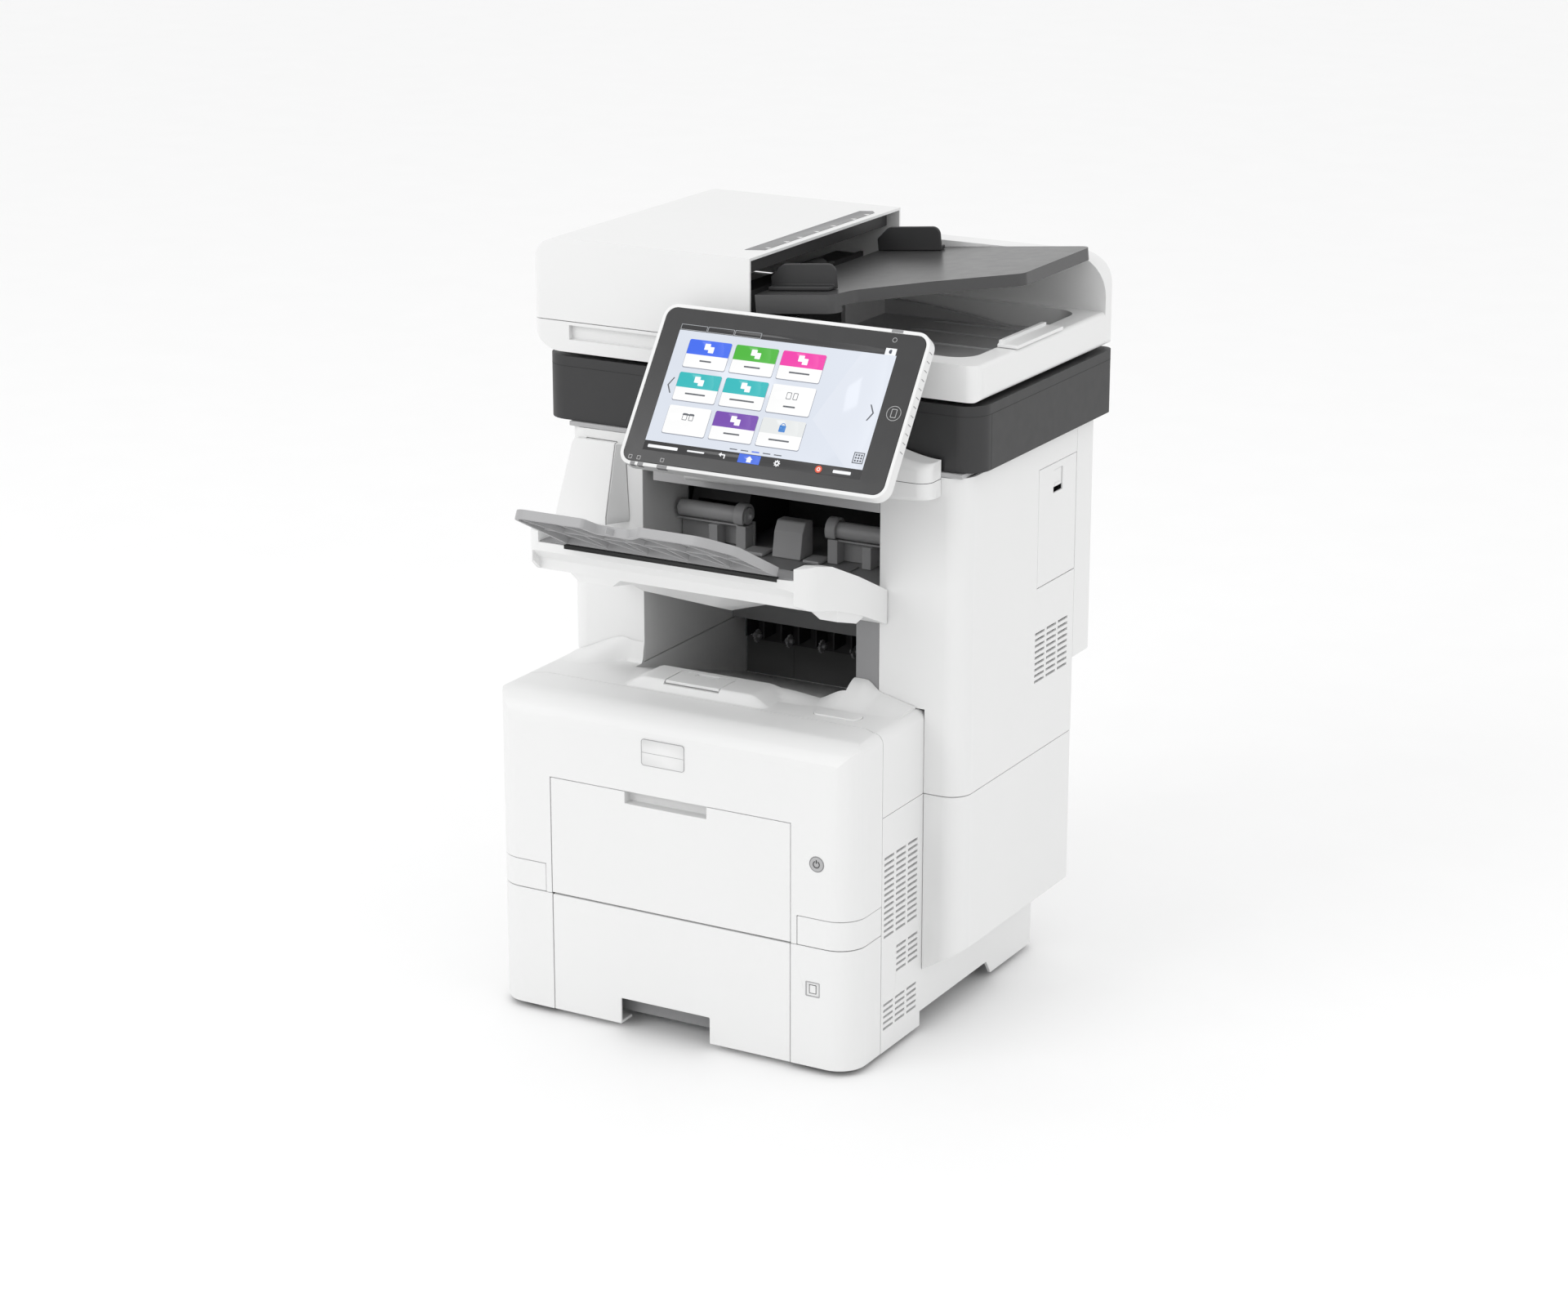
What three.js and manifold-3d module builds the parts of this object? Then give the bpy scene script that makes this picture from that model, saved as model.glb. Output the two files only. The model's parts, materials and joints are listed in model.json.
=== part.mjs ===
// Multifunction photocopier: a printer base with a paper cassette, a finisher tower with a stapling tray,
// a flatbed scanner with an automatic document feeder, and a tilting touch panel.
// Millimetres. x runs to the machine's right, y to its back and z up.
// The pieces are laid out from the middle of the base's front, at the cassette's lower edge.
import * as THREE from "three";
import Module from "manifold-3d";
import { mergeVertices } from "three/addons/utils/BufferGeometryUtils.js";
import { ConvexGeometry } from "three/addons/geometries/ConvexGeometry.js";

const wasm = await Module();
wasm.setup();

// ---- driving dimensions ----
const WALL = 3; // moulded covers
const SEAM = 0.8; // visible seam between two covers
const FIT = 0.4; // clearance between fixed pieces
const FAR = 900; // reach of a cutter that runs out of the machine
const ARC_STEPS = 8; // chords in each rounded corner

const BASE_HALF = 200; // half the base's width
const BASE_DEPTH = 398;
const BASE_TOP = 324;
const BASE_CORNER = 28; // upright front edges
const FOOT_DROP = 6; // height of the rubber feet under the base
const CASSETTE_TOP = 122;
const CASSETTE_HALF = 133.2;
const DOOR_TOP = 242.4; // upper edge of the bypass door
const CORNER_TOP = 151.4; // upper edge of the fixed corner pieces
const SKIRT_Z = 239.8; // seam between the side covers and the top cover
const SIDE_SEAM_Y = 58.6; // seam between the front cover and the side covers
const TOP_SEAM_Y = 66; // seam between the front cover and the top cover
const WELL = { x0: -112, x1: 125, y0: 124, y1: 345, floor: 258 }; // sheet output well of the base

const TOWER_Y = 142; // front of the finisher tower
const TOWER_X0 = -BASE_HALF;
const TOWER_X1 = 241;
const TOWER_TOP = 555;
const TOWER_CORNER = 22;
const TOWER_BACK = 434;
const TOWER_SEAM_Y = 386; // seam between the side and rear covers
const OPENING = { x0: -112, x1: 151, sill: 436, head: 512 }; // finisher opening between the two columns
const ROLLER = { y: 205, z: 470, radius: 8.5 };
const DOOR = { y0: 301, y1: 385.6, z0: 410, z1: 529 }; // side door of the tower

const TRAY = { x0: -138, x1: 160 }; // finisher tray
const FLAP = { x0: -96, x1: 132, length: 108, thick: 9, y: -20, z: 492, tilt: 27 };

const PANEL = { x0: -63.5, x1: 214.1, length: 158.2, y: 25, z: 563.8, tilt: 55.1, thick: 22, rim: 3.5 };
const PIVOT = { y: 88, z: 590 }; // tilt axis of the operation panel

const SCANNER = { x0: -228, x1: 252, y0: 145, y1: 445, z0: 560.2, z1: 624, corner: 25 };
const FEEDER = { x0: -238, x1: 250, y0: 146, y1: 450, z0: 628, seam: 659, rim: 663, top: 740.5, split: 7 };
const INPUT = { x: 12, z: 694, length: 226, tilt: 5.6, thick: 12 };

const BACK = 463; // rear of the platen hinges
const FLAP_TILT = THREE.MathUtils.degToRad(FLAP.tilt);
const FRONT = FLAP.y - FLAP.length * Math.cos(FLAP_TILT) - (FLAP.thick / 2) * Math.sin(FLAP_TILT);

// ---- materials ----
function plastic(color, roughness = 0.5, metalness = 0) {
  return new THREE.MeshStandardMaterial({ color, roughness, metalness });
}
const WHITE = () => plastic(0xf2f2f1);
const LIGHT_GREY = () => plastic(0xc9cacb);
const GREY = () => plastic(0x8f9091);
const CHARCOAL = () => plastic(0x39393a, 0.55);
const BLACK = () => plastic(0x1c1c1d, 0.6);
const RUBBER = () => plastic(0x2a2a2b, 0.85);
const STEEL = () => plastic(0xb4b7ba, 0.35, 0.9);
const GLASS = () => plastic(0x15171a, 0.08);

// ---- solids ----
function solid(geometry) {
  geometry.deleteAttribute("normal");
  geometry.deleteAttribute("uv");
  const merged = mergeVertices(geometry, 1e-4);
  const vertProperties = new Float32Array(merged.attributes.position.array);
  const triVerts = new Uint32Array(merged.index.array);
  return new wasm.Manifold(new wasm.Mesh({ numProp: 3, vertProperties, triVerts }));
}

function join(first, ...others) {
  return others.reduce((sum, other) => sum.add(other), first);
}

function cut(first, ...others) {
  return others.reduce((rest, other) => rest.subtract(other), first);
}

function common(first, ...others) {
  return others.reduce((rest, other) => rest.intersect(other), first);
}

function box(x0, x1, y0, y1, z0, z1) {
  const geometry = new THREE.BoxGeometry(x1 - x0, y1 - y0, z1 - z0);
  return solid(geometry.translate((x0 + x1) / 2, (y0 + y1) / 2, (z0 + z1) / 2));
}

// The same box on the machine's other side.
function mirrored(x0, x1, y0, y1, z0, z1) {
  return box(-x1, -x0, y0, y1, z0, z1);
}

// An outline is a list of [u, v] or [u, v, radius] corners, anticlockwise.
function rounded(corners) {
  const points = [];
  corners.forEach(([u, v, radius = 0], i) => {
    const corner = new THREE.Vector2(u, v);
    if (radius === 0) {
      points.push(corner);
      return;
    }
    const before = corners[(i + corners.length - 1) % corners.length];
    const after = corners[(i + 1) % corners.length];
    const back = new THREE.Vector2(before[0], before[1]).sub(corner).normalize();
    const ahead = new THREE.Vector2(after[0], after[1]).sub(corner).normalize();
    const half = Math.acos(THREE.MathUtils.clamp(back.dot(ahead), -1, 1)) / 2;
    const centre = back.clone().add(ahead).normalize().multiplyScalar(radius / Math.sin(half)).add(corner);
    const start = back.clone().multiplyScalar(radius / Math.tan(half)).add(corner).sub(centre);
    const sweep = Math.PI - 2 * half;
    const turn = Math.sign(ahead.cross(back)) * sweep;
    for (let k = 0; k <= ARC_STEPS; k += 1) {
      points.push(start.clone().rotateAround(new THREE.Vector2(), (turn * k) / ARC_STEPS).add(centre));
    }
  });
  return points;
}

function rect(u0, u1, v0, v1, [r00 = 0, r10 = 0, r11 = 0, r01 = 0] = []) {
  return rounded([[u0, v0, r00], [u1, v0, r10], [u1, v1, r11], [u0, v1, r01]]);
}

const AXES = {
  x: [new THREE.Vector3(0, 1, 0), new THREE.Vector3(0, 0, 1), new THREE.Vector3(1, 0, 0)],
  y: [new THREE.Vector3(1, 0, 0), new THREE.Vector3(0, 0, 1), new THREE.Vector3(0, -1, 0)],
  z: [new THREE.Vector3(1, 0, 0), new THREE.Vector3(0, 1, 0), new THREE.Vector3(0, 0, 1)],
};

// An outline drawn in (y, z), (x, z) or (x, y), drawn out along the axis from low to high.
function prism(axis, points, low, high) {
  const geometry = new THREE.ExtrudeGeometry(new THREE.Shape(points), {
    depth: high - low,
    bevelEnabled: false,
    steps: 1,
  });
  geometry.applyMatrix4(new THREE.Matrix4().makeBasis(...AXES[axis]));
  const shift = { x: [low, 0, 0], y: [0, high, 0], z: [0, 0, low] };
  return solid(geometry.translate(...shift[axis]));
}

function hull(points) {
  return solid(new ConvexGeometry(points.map((p) => new THREE.Vector3(...p))));
}

// A rod along x, y or z through a centre point.
function rod(axis, [x, y, z], radius, length, sides = 16) {
  const geometry = new THREE.CylinderGeometry(radius, radius, length, sides);
  if (axis === "x") geometry.rotateZ(Math.PI / 2);
  if (axis === "z") geometry.rotateX(Math.PI / 2);
  return solid(geometry.translate(x, y, z));
}

const group = new THREE.Group();

function piece(name, body, material, parent = group) {
  const { vertProperties, triVerts } = body.getMesh();
  const geometry = new THREE.BufferGeometry();
  geometry.setAttribute("position", new THREE.BufferAttribute(new Float32Array(vertProperties), 3));
  geometry.setIndex(new THREE.BufferAttribute(new Uint32Array(triVerts), 1));
  geometry.computeVertexNormals();
  const mesh = new THREE.Mesh(geometry, material);
  mesh.name = name;
  parent.add(mesh);
}

// ---- printer base ----
function baseForm(inset, bottom) {
  const top = BASE_TOP - inset;
  const half = BASE_HALF - inset;
  const front = BASE_CORNER - inset;
  const rear = 12 - inset;
  const footprint = rect(-half, half, inset, BASE_DEPTH - inset, [front, front, rear, rear]);
  const plan = prism("z", footprint, bottom, top);
  const nose = prism("x", rect(inset, FAR, bottom, top, [0, 0, 0, 30 - inset]), -half, half);
  const shoulders = prism("y", rect(-half, half, bottom, top, [0, 0, 10 - inset, 10 - inset]), 0, FAR);
  return common(plan, nose, shoulders);
}
const baseSkin = cut(baseForm(0, 0), baseForm(WALL, -1));

function louvres(x, y0, columns, z0, rows, length = 20) {
  const slots = [];
  for (let column = 0; column < columns; column += 1) {
    for (let row = 0; row < rows; row += 1) {
      const y = y0 + column * (length + 4);
      const z = z0 + row * 6.1;
      slots.push(box(x - 5, x + 5, y, y + length, z, z + 2.6));
    }
  }
  return slots;
}

function frontCover() {
  const reach = rounded([
    [-FAR, -1], [FAR, -1], [FAR, SIDE_SEAM_Y], [190, SIDE_SEAM_Y], [178, TOP_SEAM_Y],
    [-178, TOP_SEAM_Y], [-190, SIDE_SEAM_Y], [-FAR, SIDE_SEAM_Y],
  ]);
  return cut(
    common(baseSkin, prism("z", reach, CASSETTE_TOP + SEAM, FAR)),
    box(-134.3, 134.3, -1, 30, 0, DOOR_TOP + SEAM),
    box(140.4, FAR, -1, FAR, 0, CORNER_TOP + SEAM),
    mirrored(140.4, FAR, -1, FAR, 0, CORNER_TOP + SEAM),
    rod("y", [162, 0, 207], 7.9, 20),
  );
}

function cornerPiece(side) {
  const zone = side(141, BASE_HALF + 1, -1, SIDE_SEAM_Y, CASSETTE_TOP + SEAM, CORNER_TOP);
  return common(baseSkin, zone);
}

function feedFront(side) {
  return common(baseSkin, side(CASSETTE_HALF + SEAM, BASE_HALF + 1, -1, SIDE_SEAM_Y, -1, CASSETTE_TOP));
}

function sizeWindow() {
  return box(150.8, 165, -1, 1.4, 73, 87);
}

function sideCover(side) {
  const zone = side(150, BASE_HALF + 1, SIDE_SEAM_Y + SEAM, BASE_DEPTH - WALL - FIT, -1, SKIRT_Z);
  const arch = prism("x", rounded([[140, -2], [298, -2], [286, 15], [140, 15]]), -FAR, FAR);
  return cut(common(baseSkin, zone), arch);
}

function rightSideCover() {
  const groups = [
    ...louvres(BASE_HALF, 64, 3, 117, 14),
    ...louvres(BASE_HALF, 90, 2, 74.5, 5),
    ...louvres(BASE_HALF, 64, 3, 22.5, 5),
  ];
  return cut(sideCover(box), ...groups);
}

function leftSideCover() {
  return cut(sideCover(mirrored), ...louvres(-BASE_HALF, 250, 3, 60, 5));
}

function ease(value, from, to) {
  const t = THREE.MathUtils.clamp((value - from) / (to - from), 0, 1);
  return t * t * (3 - 2 * t);
}

// A swelling on the top cover: solid from inside its wall up to a rise over the top face at each place.
function mound([x0, x1, columns], [y0, y1, rows], rise) {
  const geometry = new THREE.BoxGeometry(x1 - x0, y1 - y0, 2, columns, rows, 1);
  geometry.translate((x0 + x1) / 2, (y0 + y1) / 2, 0);
  const place = geometry.attributes.position;
  for (let i = 0; i < place.count; i += 1) {
    const height = place.getZ(i) > 0 ? rise(place.getX(i), place.getY(i)) - 0.3 : -2;
    place.setZ(i, BASE_TOP + height);
  }
  return solid(geometry);
}

// The stacker's lip in front of the well, with a tail to the right along the well's edge.
function lipRise(x, y) {
  const across = ease(x, -96, -72) * ease(x, 72, 46);
  const plateau = across * ease(y, TOP_SEAM_Y + 1, TOP_SEAM_Y + 12) * ease(y, 128, 116);
  const tail = ease(x, 118, 56) * ease(x, 10, 40) * ease(y, 92, 118) * ease(y, 127.5, 122.5);
  return Math.max(10.4 * plateau, 6.2 * tail);
}

// The banks on either side of the well, which climb to the tower.
function leftBankRise(x, y) {
  const foot = 100 + 37 * ease(x, -172, -124);
  return 25.6 * ease(x, -206, -126) * ease(y, foot, 143);
}

function rightBankRise(x, y) {
  const crest = 22 * ease(x, 90, 126) * (1 - 0.5 * ease(x, 138, 156)) * (1 - 0.75 * ease(x, 150, 196));
  return crest * ease(y, 98, 143);
}

function topCover() {
  const front = rounded([
    [-FAR, SIDE_SEAM_Y + SEAM], [-190, SIDE_SEAM_Y + SEAM], [-178, TOP_SEAM_Y + SEAM],
    [178, TOP_SEAM_Y + SEAM], [190, SIDE_SEAM_Y + SEAM], [FAR, SIDE_SEAM_Y + SEAM],
    [FAR, BASE_DEPTH - WALL - FIT], [-FAR, BASE_DEPTH - WALL - FIT],
  ]);
  const shell = common(baseSkin, prism("z", front, SKIRT_Z + SEAM, FAR));
  const slope = (WELL.floor - BASE_TOP) / (WELL.y1 - WELL.y0);
  const floorAt = (y) => BASE_TOP + slope * (y - WELL.y0);
  const well = prism("x", rounded([
    [WELL.y0 - 4, BASE_TOP - WALL], [WELL.y1 + WALL, WELL.floor - WALL],
    [WELL.y1 + WALL, 300], [WELL.y1 + WALL, BASE_TOP], [WELL.y0 - 4, BASE_TOP],
  ]), WELL.x0 - WALL, WELL.x1 + WALL);
  const room = prism("x", rounded([
    [WELL.y0, floorAt(WELL.y0)], [WELL.y1, WELL.floor], [WELL.y1, FAR], [WELL.y0, FAR],
  ]), WELL.x0, WELL.x1);
  const exitSlot = box(WELL.x0 + 6, WELL.x1 - 6, WELL.y1 - 1, WELL.y1 + 9, 300, FAR);
  const lip = mound([-98, 120, 44], [TOP_SEAM_Y + SEAM, WELL.y0 - 0.1, 20], lipRise);
  const leftBank = mound([-190, WELL.x0, 26], [96, TOWER_Y - 0.6, 16], leftBankRise);
  const rightBank = mound([90, 191, 26], [98, TOWER_Y - 0.6, 14], rightBankRise);
  return cut(
    join(shell, well, lip, leftBank, rightBank),
    room,
    exitSlot,
    prism("z", rect(112, 161, 79, 97, [6, 6, 6, 6]), 300, FAR),
    box(-49, 13, 73.2, 109, 330, FAR),
  );
}

function rearPanel() {
  const zone = box(-BASE_HALF, BASE_HALF, BASE_DEPTH - WALL, BASE_DEPTH + 1, 15, FAR);
  return cut(
    common(baseSkin, zone),
    box(-150.6, 150.6, 300, FAR, 99.4, 300.6),
    box(137.6, 170.4, 300, FAR, 32.6, 59.4),
  );
}

function rearCover() {
  const plate = box(-150, 150, BASE_DEPTH - WALL, BASE_DEPTH, 100, 300);
  const rib = (x) => box(x - 1, x + 1, BASE_DEPTH - 7, BASE_DEPTH - 1, 115, 285);
  const ribs = [-100, -50, 0, 50, 100].map(rib);
  return cut(join(plate, ...ribs), box(-35, 35, BASE_DEPTH - 1.5, FAR, 272, 292));
}

function chassis() {
  return join(
    box(-180, 180, 30, 392, 2, 4.5),
    box(165, 167.5, 70, 376, 2, 310),
    mirrored(165, 167.5, 70, 376, 2, 310),
  );
}

function foot(x, y) {
  return rod("z", [x, y, (1.6 - FOOT_DROP) / 2], 14, 1.6 + FOOT_DROP, 20);
}

function powerInlet() {
  return cut(box(138, 170, 380, BASE_DEPTH - 0.5, 33, 59), box(142, 166, 383, FAR, 38, 54));
}

function bypassDoor() {
  const pan = cut(
    box(-133.5, 133.5, 0, 14, CASSETTE_TOP + 1.4, DOOR_TOP),
    box(-130.5, 130.5, WALL, 20, CASSETTE_TOP + 4.4, DOOR_TOP - WALL),
  );
  const gripBack = box(-52, 45, 0, 14, 227, DOOR_TOP);
  return cut(join(pan, gripBack), box(-49, 42, -1, 11, 230.5, DOOR_TOP + 1));
}

function releaseButton() {
  return prism("z", rect(112.5, 160.5, 79.5, 96.5, [5.5, 5.5, 5.5, 5.5]), 314, 325.4);
}

function powerButton() {
  return rod("y", [162, 3, 207], 7.2, 7.4, 24);
}

function stopperFence() {
  return cut(box(-48, 12, 76, 108, 331, 334), box(-30, -6, 101, 110, 332.4, 340));
}

// ---- paper cassette ----
function cassetteBody() {
  return cut(box(-129.5, 129.5, 21, 346, 6, 100), box(-126.5, 126.5, 24, 343, 9, 120));
}

function cassetteFront() {
  return cut(
    box(-CASSETTE_HALF, CASSETTE_HALF, 0, 20.6, 0, CASSETTE_TOP - 0.4),
    box(-130, 130, WALL, 30, WALL, CASSETTE_TOP - WALL - 0.4),
    box(-56, 44, -1, 30, -1, 27),
  );
}

function liftPlate() {
  return cut(
    box(-98, 98, 45, 240, 12, 13.6),
    box(58, 99, 134, 228, 0, 20),
    mirrored(58, 99, 134, 228, 0, 20),
  );
}

function sideFence(side) {
  return join(side(106, 109, 142, 220, 9.5, 92), side(72, 108, 150, 212, 9.5, 11.5));
}

function endFence() {
  return join(box(-25, 25, 321, 324, 9.5, 88), box(-15, 15, 286, 322, 9.5, 11.5));
}

function feedRoller() {
  return join(rod("x", [0, 62, 117], 11, 44, 20), rod("x", [0, 62, 117], 3, 120, 10));
}

// ---- print engine ----
function printCartridge() {
  const shell = prism("x", rounded([
    [75, 150], [165, 150, 8], [176, 178, 8], [165, 222, 10], [95, 222, 10], [75, 200],
  ]), -120, 120);
  const handle = cut(box(-34, 34, 60, 76, 186, 202), box(-28, 28, 65, 76, 180, 210));
  return join(shell, handle);
}

function laserUnit() {
  return join(box(-135, 135, 190, 325, 205, 243), box(-40, 40, 220, 290, 240, 249));
}

function fuserUnit() {
  const shell = prism("x", rounded([[337, 170], [388, 170, 6], [388, 238, 10], [337, 238, 6]]), -140, 140);
  return cut(shell, prism("x", rounded([[330, 198], [352, 201], [352, 209], [330, 212]]), -130, 130));
}

function coolingFan() {
  const centre = [183, 98, 159];
  const blades = [];
  for (let k = 0; k < 7; k += 1) {
    const blade = new THREE.BoxGeometry(10, 2, 20).translate(0, 0, 19).toNonIndexed();
    blade.rotateZ(0.5).rotateX((k * 2 * Math.PI) / 7).translate(...centre);
    blades.push(solid(blade));
  }
  return join(rod("x", centre, 12, 14, 20), ...blades);
}

// ---- finisher tower ----
function towerLeftCover() {
  const outer = rect(TOWER_X0, OPENING.x0, TOWER_Y, TOWER_SEAM_Y, [TOWER_CORNER, 0, 0, 0]);
  const round = [TOWER_CORNER - WALL, 0, 0, 0];
  const inner = rect(TOWER_X0 + WALL, OPENING.x0 - WALL, TOWER_Y + WALL, FAR, round);
  return cut(
    prism("z", outer, BASE_TOP + SEAM, TOWER_TOP),
    prism("z", inner, 0, FAR),
    box(-176.6, -140.6, 100, 150, 465.4, 545.6),
  );
}

function stapleCover() {
  const side = (back, inset) => rounded([
    [back, 466 + inset], [back, 545 - inset], [138 + inset, 545 - inset],
    [119 + inset, 474], [119 + inset, 466 + inset],
  ]);
  const flare = rounded([[-199.5, 466], [-141.2, 466], [-141.2, 545], [-189.5, 545, 6]]);
  const face = common(prism("x", side(TOWER_Y - FIT, 0), -FAR, -141.2), prism("y", flare, 0, FAR));
  const plug = prism("x", side(144.6, 0), -176, -141.2);
  return cut(join(face, plug), prism("x", side(150, 2.4), -173.6, -143.6));
}

function towerRightCover() {
  const outer = rect(OPENING.x1, TOWER_X1, TOWER_Y, TOWER_SEAM_Y, [0, TOWER_CORNER, 0, 0]);
  const round = [0, TOWER_CORNER - WALL, 0, 0];
  const room = (rear) => rect(OPENING.x1 + WALL, TOWER_X1 - WALL, TOWER_Y + WALL, rear, round);
  return cut(
    prism("z", outer, SKIRT_Z + SEAM, TOWER_TOP),
    prism("z", room(TOWER_SEAM_Y - WALL), 0, 330),
    prism("z", room(FAR), 316, FAR),
    box(0, BASE_HALF + FIT, 0, FAR, 0, BASE_TOP + SEAM),
    box(TOWER_X1 - 5, FAR, DOOR.y0 - 0.6, FAR, DOOR.z0 - 0.6, DOOR.z1 + 0.6),
    ...louvres(TOWER_X1, 299, 3, 313, 9, 22),
  );
}

function towerLowerCover() {
  const x0 = BASE_HALF + FIT;
  const rear = TOWER_SEAM_Y + 2;
  const outer = rect(x0, TOWER_X1, TOWER_Y, rear, [0, TOWER_CORNER, 4, 0]);
  const inner = rect(0, TOWER_X1 - WALL, TOWER_Y + WALL, rear - WALL, [0, TOWER_CORNER - WALL, 0, 0]);
  const underside = (x) => 58 + (24 * (x - x0)) / (TOWER_X1 - x0);
  const belly = rounded([
    [x0, underside(x0)], [TOWER_X1, underside(TOWER_X1)], [TOWER_X1, SKIRT_Z], [x0, SKIRT_Z],
  ]);
  const floor = (x) => underside(x) + WALL + FIT;
  const wall = TOWER_X1 - WALL;
  const room = rounded([[0, floor(0)], [wall, floor(wall)], [wall, FAR], [0, FAR]]);
  return cut(
    common(prism("z", outer, 0, FAR), prism("y", belly, 0, FAR)),
    common(prism("z", inner, 0, FAR), prism("y", room, 0, FAR)),
  );
}

function towerRearCover() {
  const front = TOWER_SEAM_Y + SEAM;
  const outer = rect(TOWER_X0, TOWER_X1, front, TOWER_BACK, [0, 0, 14, 14]);
  const inner = rect(TOWER_X0 + WALL, TOWER_X1 - WALL, 0, TOWER_BACK - WALL, [0, 0, 11, 11]);
  return cut(
    prism("z", outer, 316.5, TOWER_TOP),
    prism("z", inner, 319.5, FAR),
    box(-FAR, BASE_HALF + FIT, 0, BASE_DEPTH + FIT, 0, BASE_TOP + SEAM),
  );
}

function towerDeck() {
  return join(
    box(-196, 237, TOWER_Y, 430, TOWER_TOP + 0.4, SCANNER.z0 - 0.4),
    box(OPENING.x0 + FIT, OPENING.x1 - FIT, TOWER_Y, 150, 527, TOWER_TOP + 1),
    box(OPENING.x0 + 12, OPENING.x1 - FIT, TOWER_Y, 160, OPENING.head, 528),
  );
}

function innerFrame() {
  const x0 = OPENING.x0 + FIT;
  const x1 = OPENING.x1 - FIT;
  return join(
    box(x0, x1, 146, 316, 412, OPENING.sill),
    box(x0, x1, 315, 318, BASE_TOP + 2, 550),
    box(WELL.x1 + 1, x1, TOWER_Y, 316, BASE_TOP + SEAM, 413),
  );
}

function sideDoor() {
  return cut(
    box(TOWER_X1 - 2.6, TOWER_X1, DOOR.y0, DOOR.y1, DOOR.z0, DOOR.z1),
    box(TOWER_X1 - 5, FAR, 333.5, 354.5, 499, 522),
  );
}

function sideDoorLatch() {
  return join(
    box(TOWER_X1 - 3.6, TOWER_X1 - 1.4, 334, 354, 504, 521.4),
    box(TOWER_X1 - 2, TOWER_X1 - 0.2, 338, 350, 505, 508),
  );
}

function exitRoller(x0, x1) {
  const middle = (x0 + x1) / 2;
  return join(
    rod("x", [middle, ROLLER.y, ROLLER.z], ROLLER.radius, x1 - x0, 16),
    rod("x", [middle, ROLLER.y, ROLLER.z], 3, x1 - x0 + 8, 10),
  );
}

function staplerUnit() {
  const side = rounded([[228, 440], [310, 440], [310, 505, 10], [240, 505, 14], [228, 470]]);
  const shell = prism("x", side, -108, -42);
  return cut(shell, box(-100, -50, 220, 262, 462, 474));
}

// The tray rises towards the front: its top, paper floor and underside as (y, z) curves.
// Under the front lip the shell draws in to a waist, with a deeper belly behind it between the end plates.
const TRAY_TOP = [[141, 438], [83, 466], [32, 488], [0, 496], [-24, 497]];
const TRAY_FLOOR = [[142, 428], [83, 456], [32, 477], [0, 485], [-30, 486.5]];
const TRAY_UNDER = [[-8, 455.5], [40, 443.5], [90, 426], [141, 404]];
const TRAY_WAIST = [[-24, 478], [-10, 466.5]];

function finisherTray() {
  const belly = prism("x", rounded([...TRAY_TOP, ...TRAY_WAIST, ...TRAY_UNDER]), TRAY.x0, TRAY.x1);
  const leftPlate = prism("x", rounded([...TRAY_TOP, [-24, 469], ...TRAY_UNDER]), TRAY.x0, TRAY.x0 + 4.5);
  const rightPlate = prism("x", rounded([...TRAY_TOP, [-24, 464], ...TRAY_UNDER]), TRAY.x1 - 12, TRAY.x1);
  const paper = prism("x", rounded([...TRAY_FLOOR, [-30, FAR], [142, FAR]]), TRAY.x0 + 12, TRAY.x1 - 12);
  const hollow = prism("x", rounded([
    [142, 424], [83, 452], [32, 473], [0, 481], [-20, 482],
    [-20, 480], [-7, 468.5], [-5, 459.5], [40, 447.5], [90, 430], [142, 407.5],
  ]), TRAY.x0 + 5, TRAY.x1 - 5);
  const plan = (inset) => prism("z", rounded([
    [TRAY.x0 + inset, 160], [TRAY.x0 + inset, inset - 24.01, 9 - inset],
    [TRAY.x1 - inset, inset - 24.01, 26 - inset], [TRAY.x1 - inset, 160],
  ]), 0, FAR);
  const shell = cut(common(join(belly, leftPlate, rightPlate), plan(0)), paper, common(hollow, plan(WALL)));
  const leftFoot = hull([
    [-106, -7, 459], [-41, -7, 459], [-106, 44, 444], [-41, 44, 444],
    [-94, -5, 447.5], [-56, -5, 447.5], [-94, 34, 440], [-56, 34, 440],
  ]);
  const rightFoot = hull([
    [120, 44, 445], [159, 44, 445], [120, 100, 424], [159, 100, 424],
    [137, 50, 429.5], [155, 50, 429.5], [137, 88, 418], [155, 88, 418],
  ]);
  const middle = hull([
    [-98, 66, 437], [34, 66, 437], [-98, 141, 406], [34, 141, 406],
    [-84, 92, 415], [-8, 92, 411], [-84, 141, 397], [-12, 141, 392.5],
  ]);
  const feet = cut(join(leftFoot, rightFoot, middle), prism("x", rounded([
    [142, 405.5], [90, 428], [40, 445.5], [-6, 457.5], [-30, 464], [-30, FAR], [142, FAR],
  ]), -FAR, FAR));
  return join(shell, feet);
}

// Drawn lying flat, from its hinge line towards the front.
function trayExtension() {
  const { x0, x1, length, thick } = FLAP;
  const notch = 22 - length;
  const outline = (inset) => rounded([
    [x0 + inset, -length + inset, 16], [-17 - inset, -length + inset, 4], [-12 - inset, notch + inset, 6],
    [20 + inset, notch + inset, 8], [42 + inset, -length + inset, 8], [x1 - 26, -length + inset, 24],
    [x1 - inset, -length + 26, 16], [x1 - inset, -inset / 2], [x0 + inset, -inset / 2],
  ]);
  const rib = (x) => box(x, x + 2, notch + 2, -2, 1 - thick / 2, thick / 2 - 2);
  const pan = cut(
    prism("z", outline(0), -thick / 2, thick / 2),
    prism("z", outline(3.5), -thick, thick / 2 - 2.4),
  );
  return join(pan, ...[-66, -22, 22, 66, 100].map(rib));
}

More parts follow.
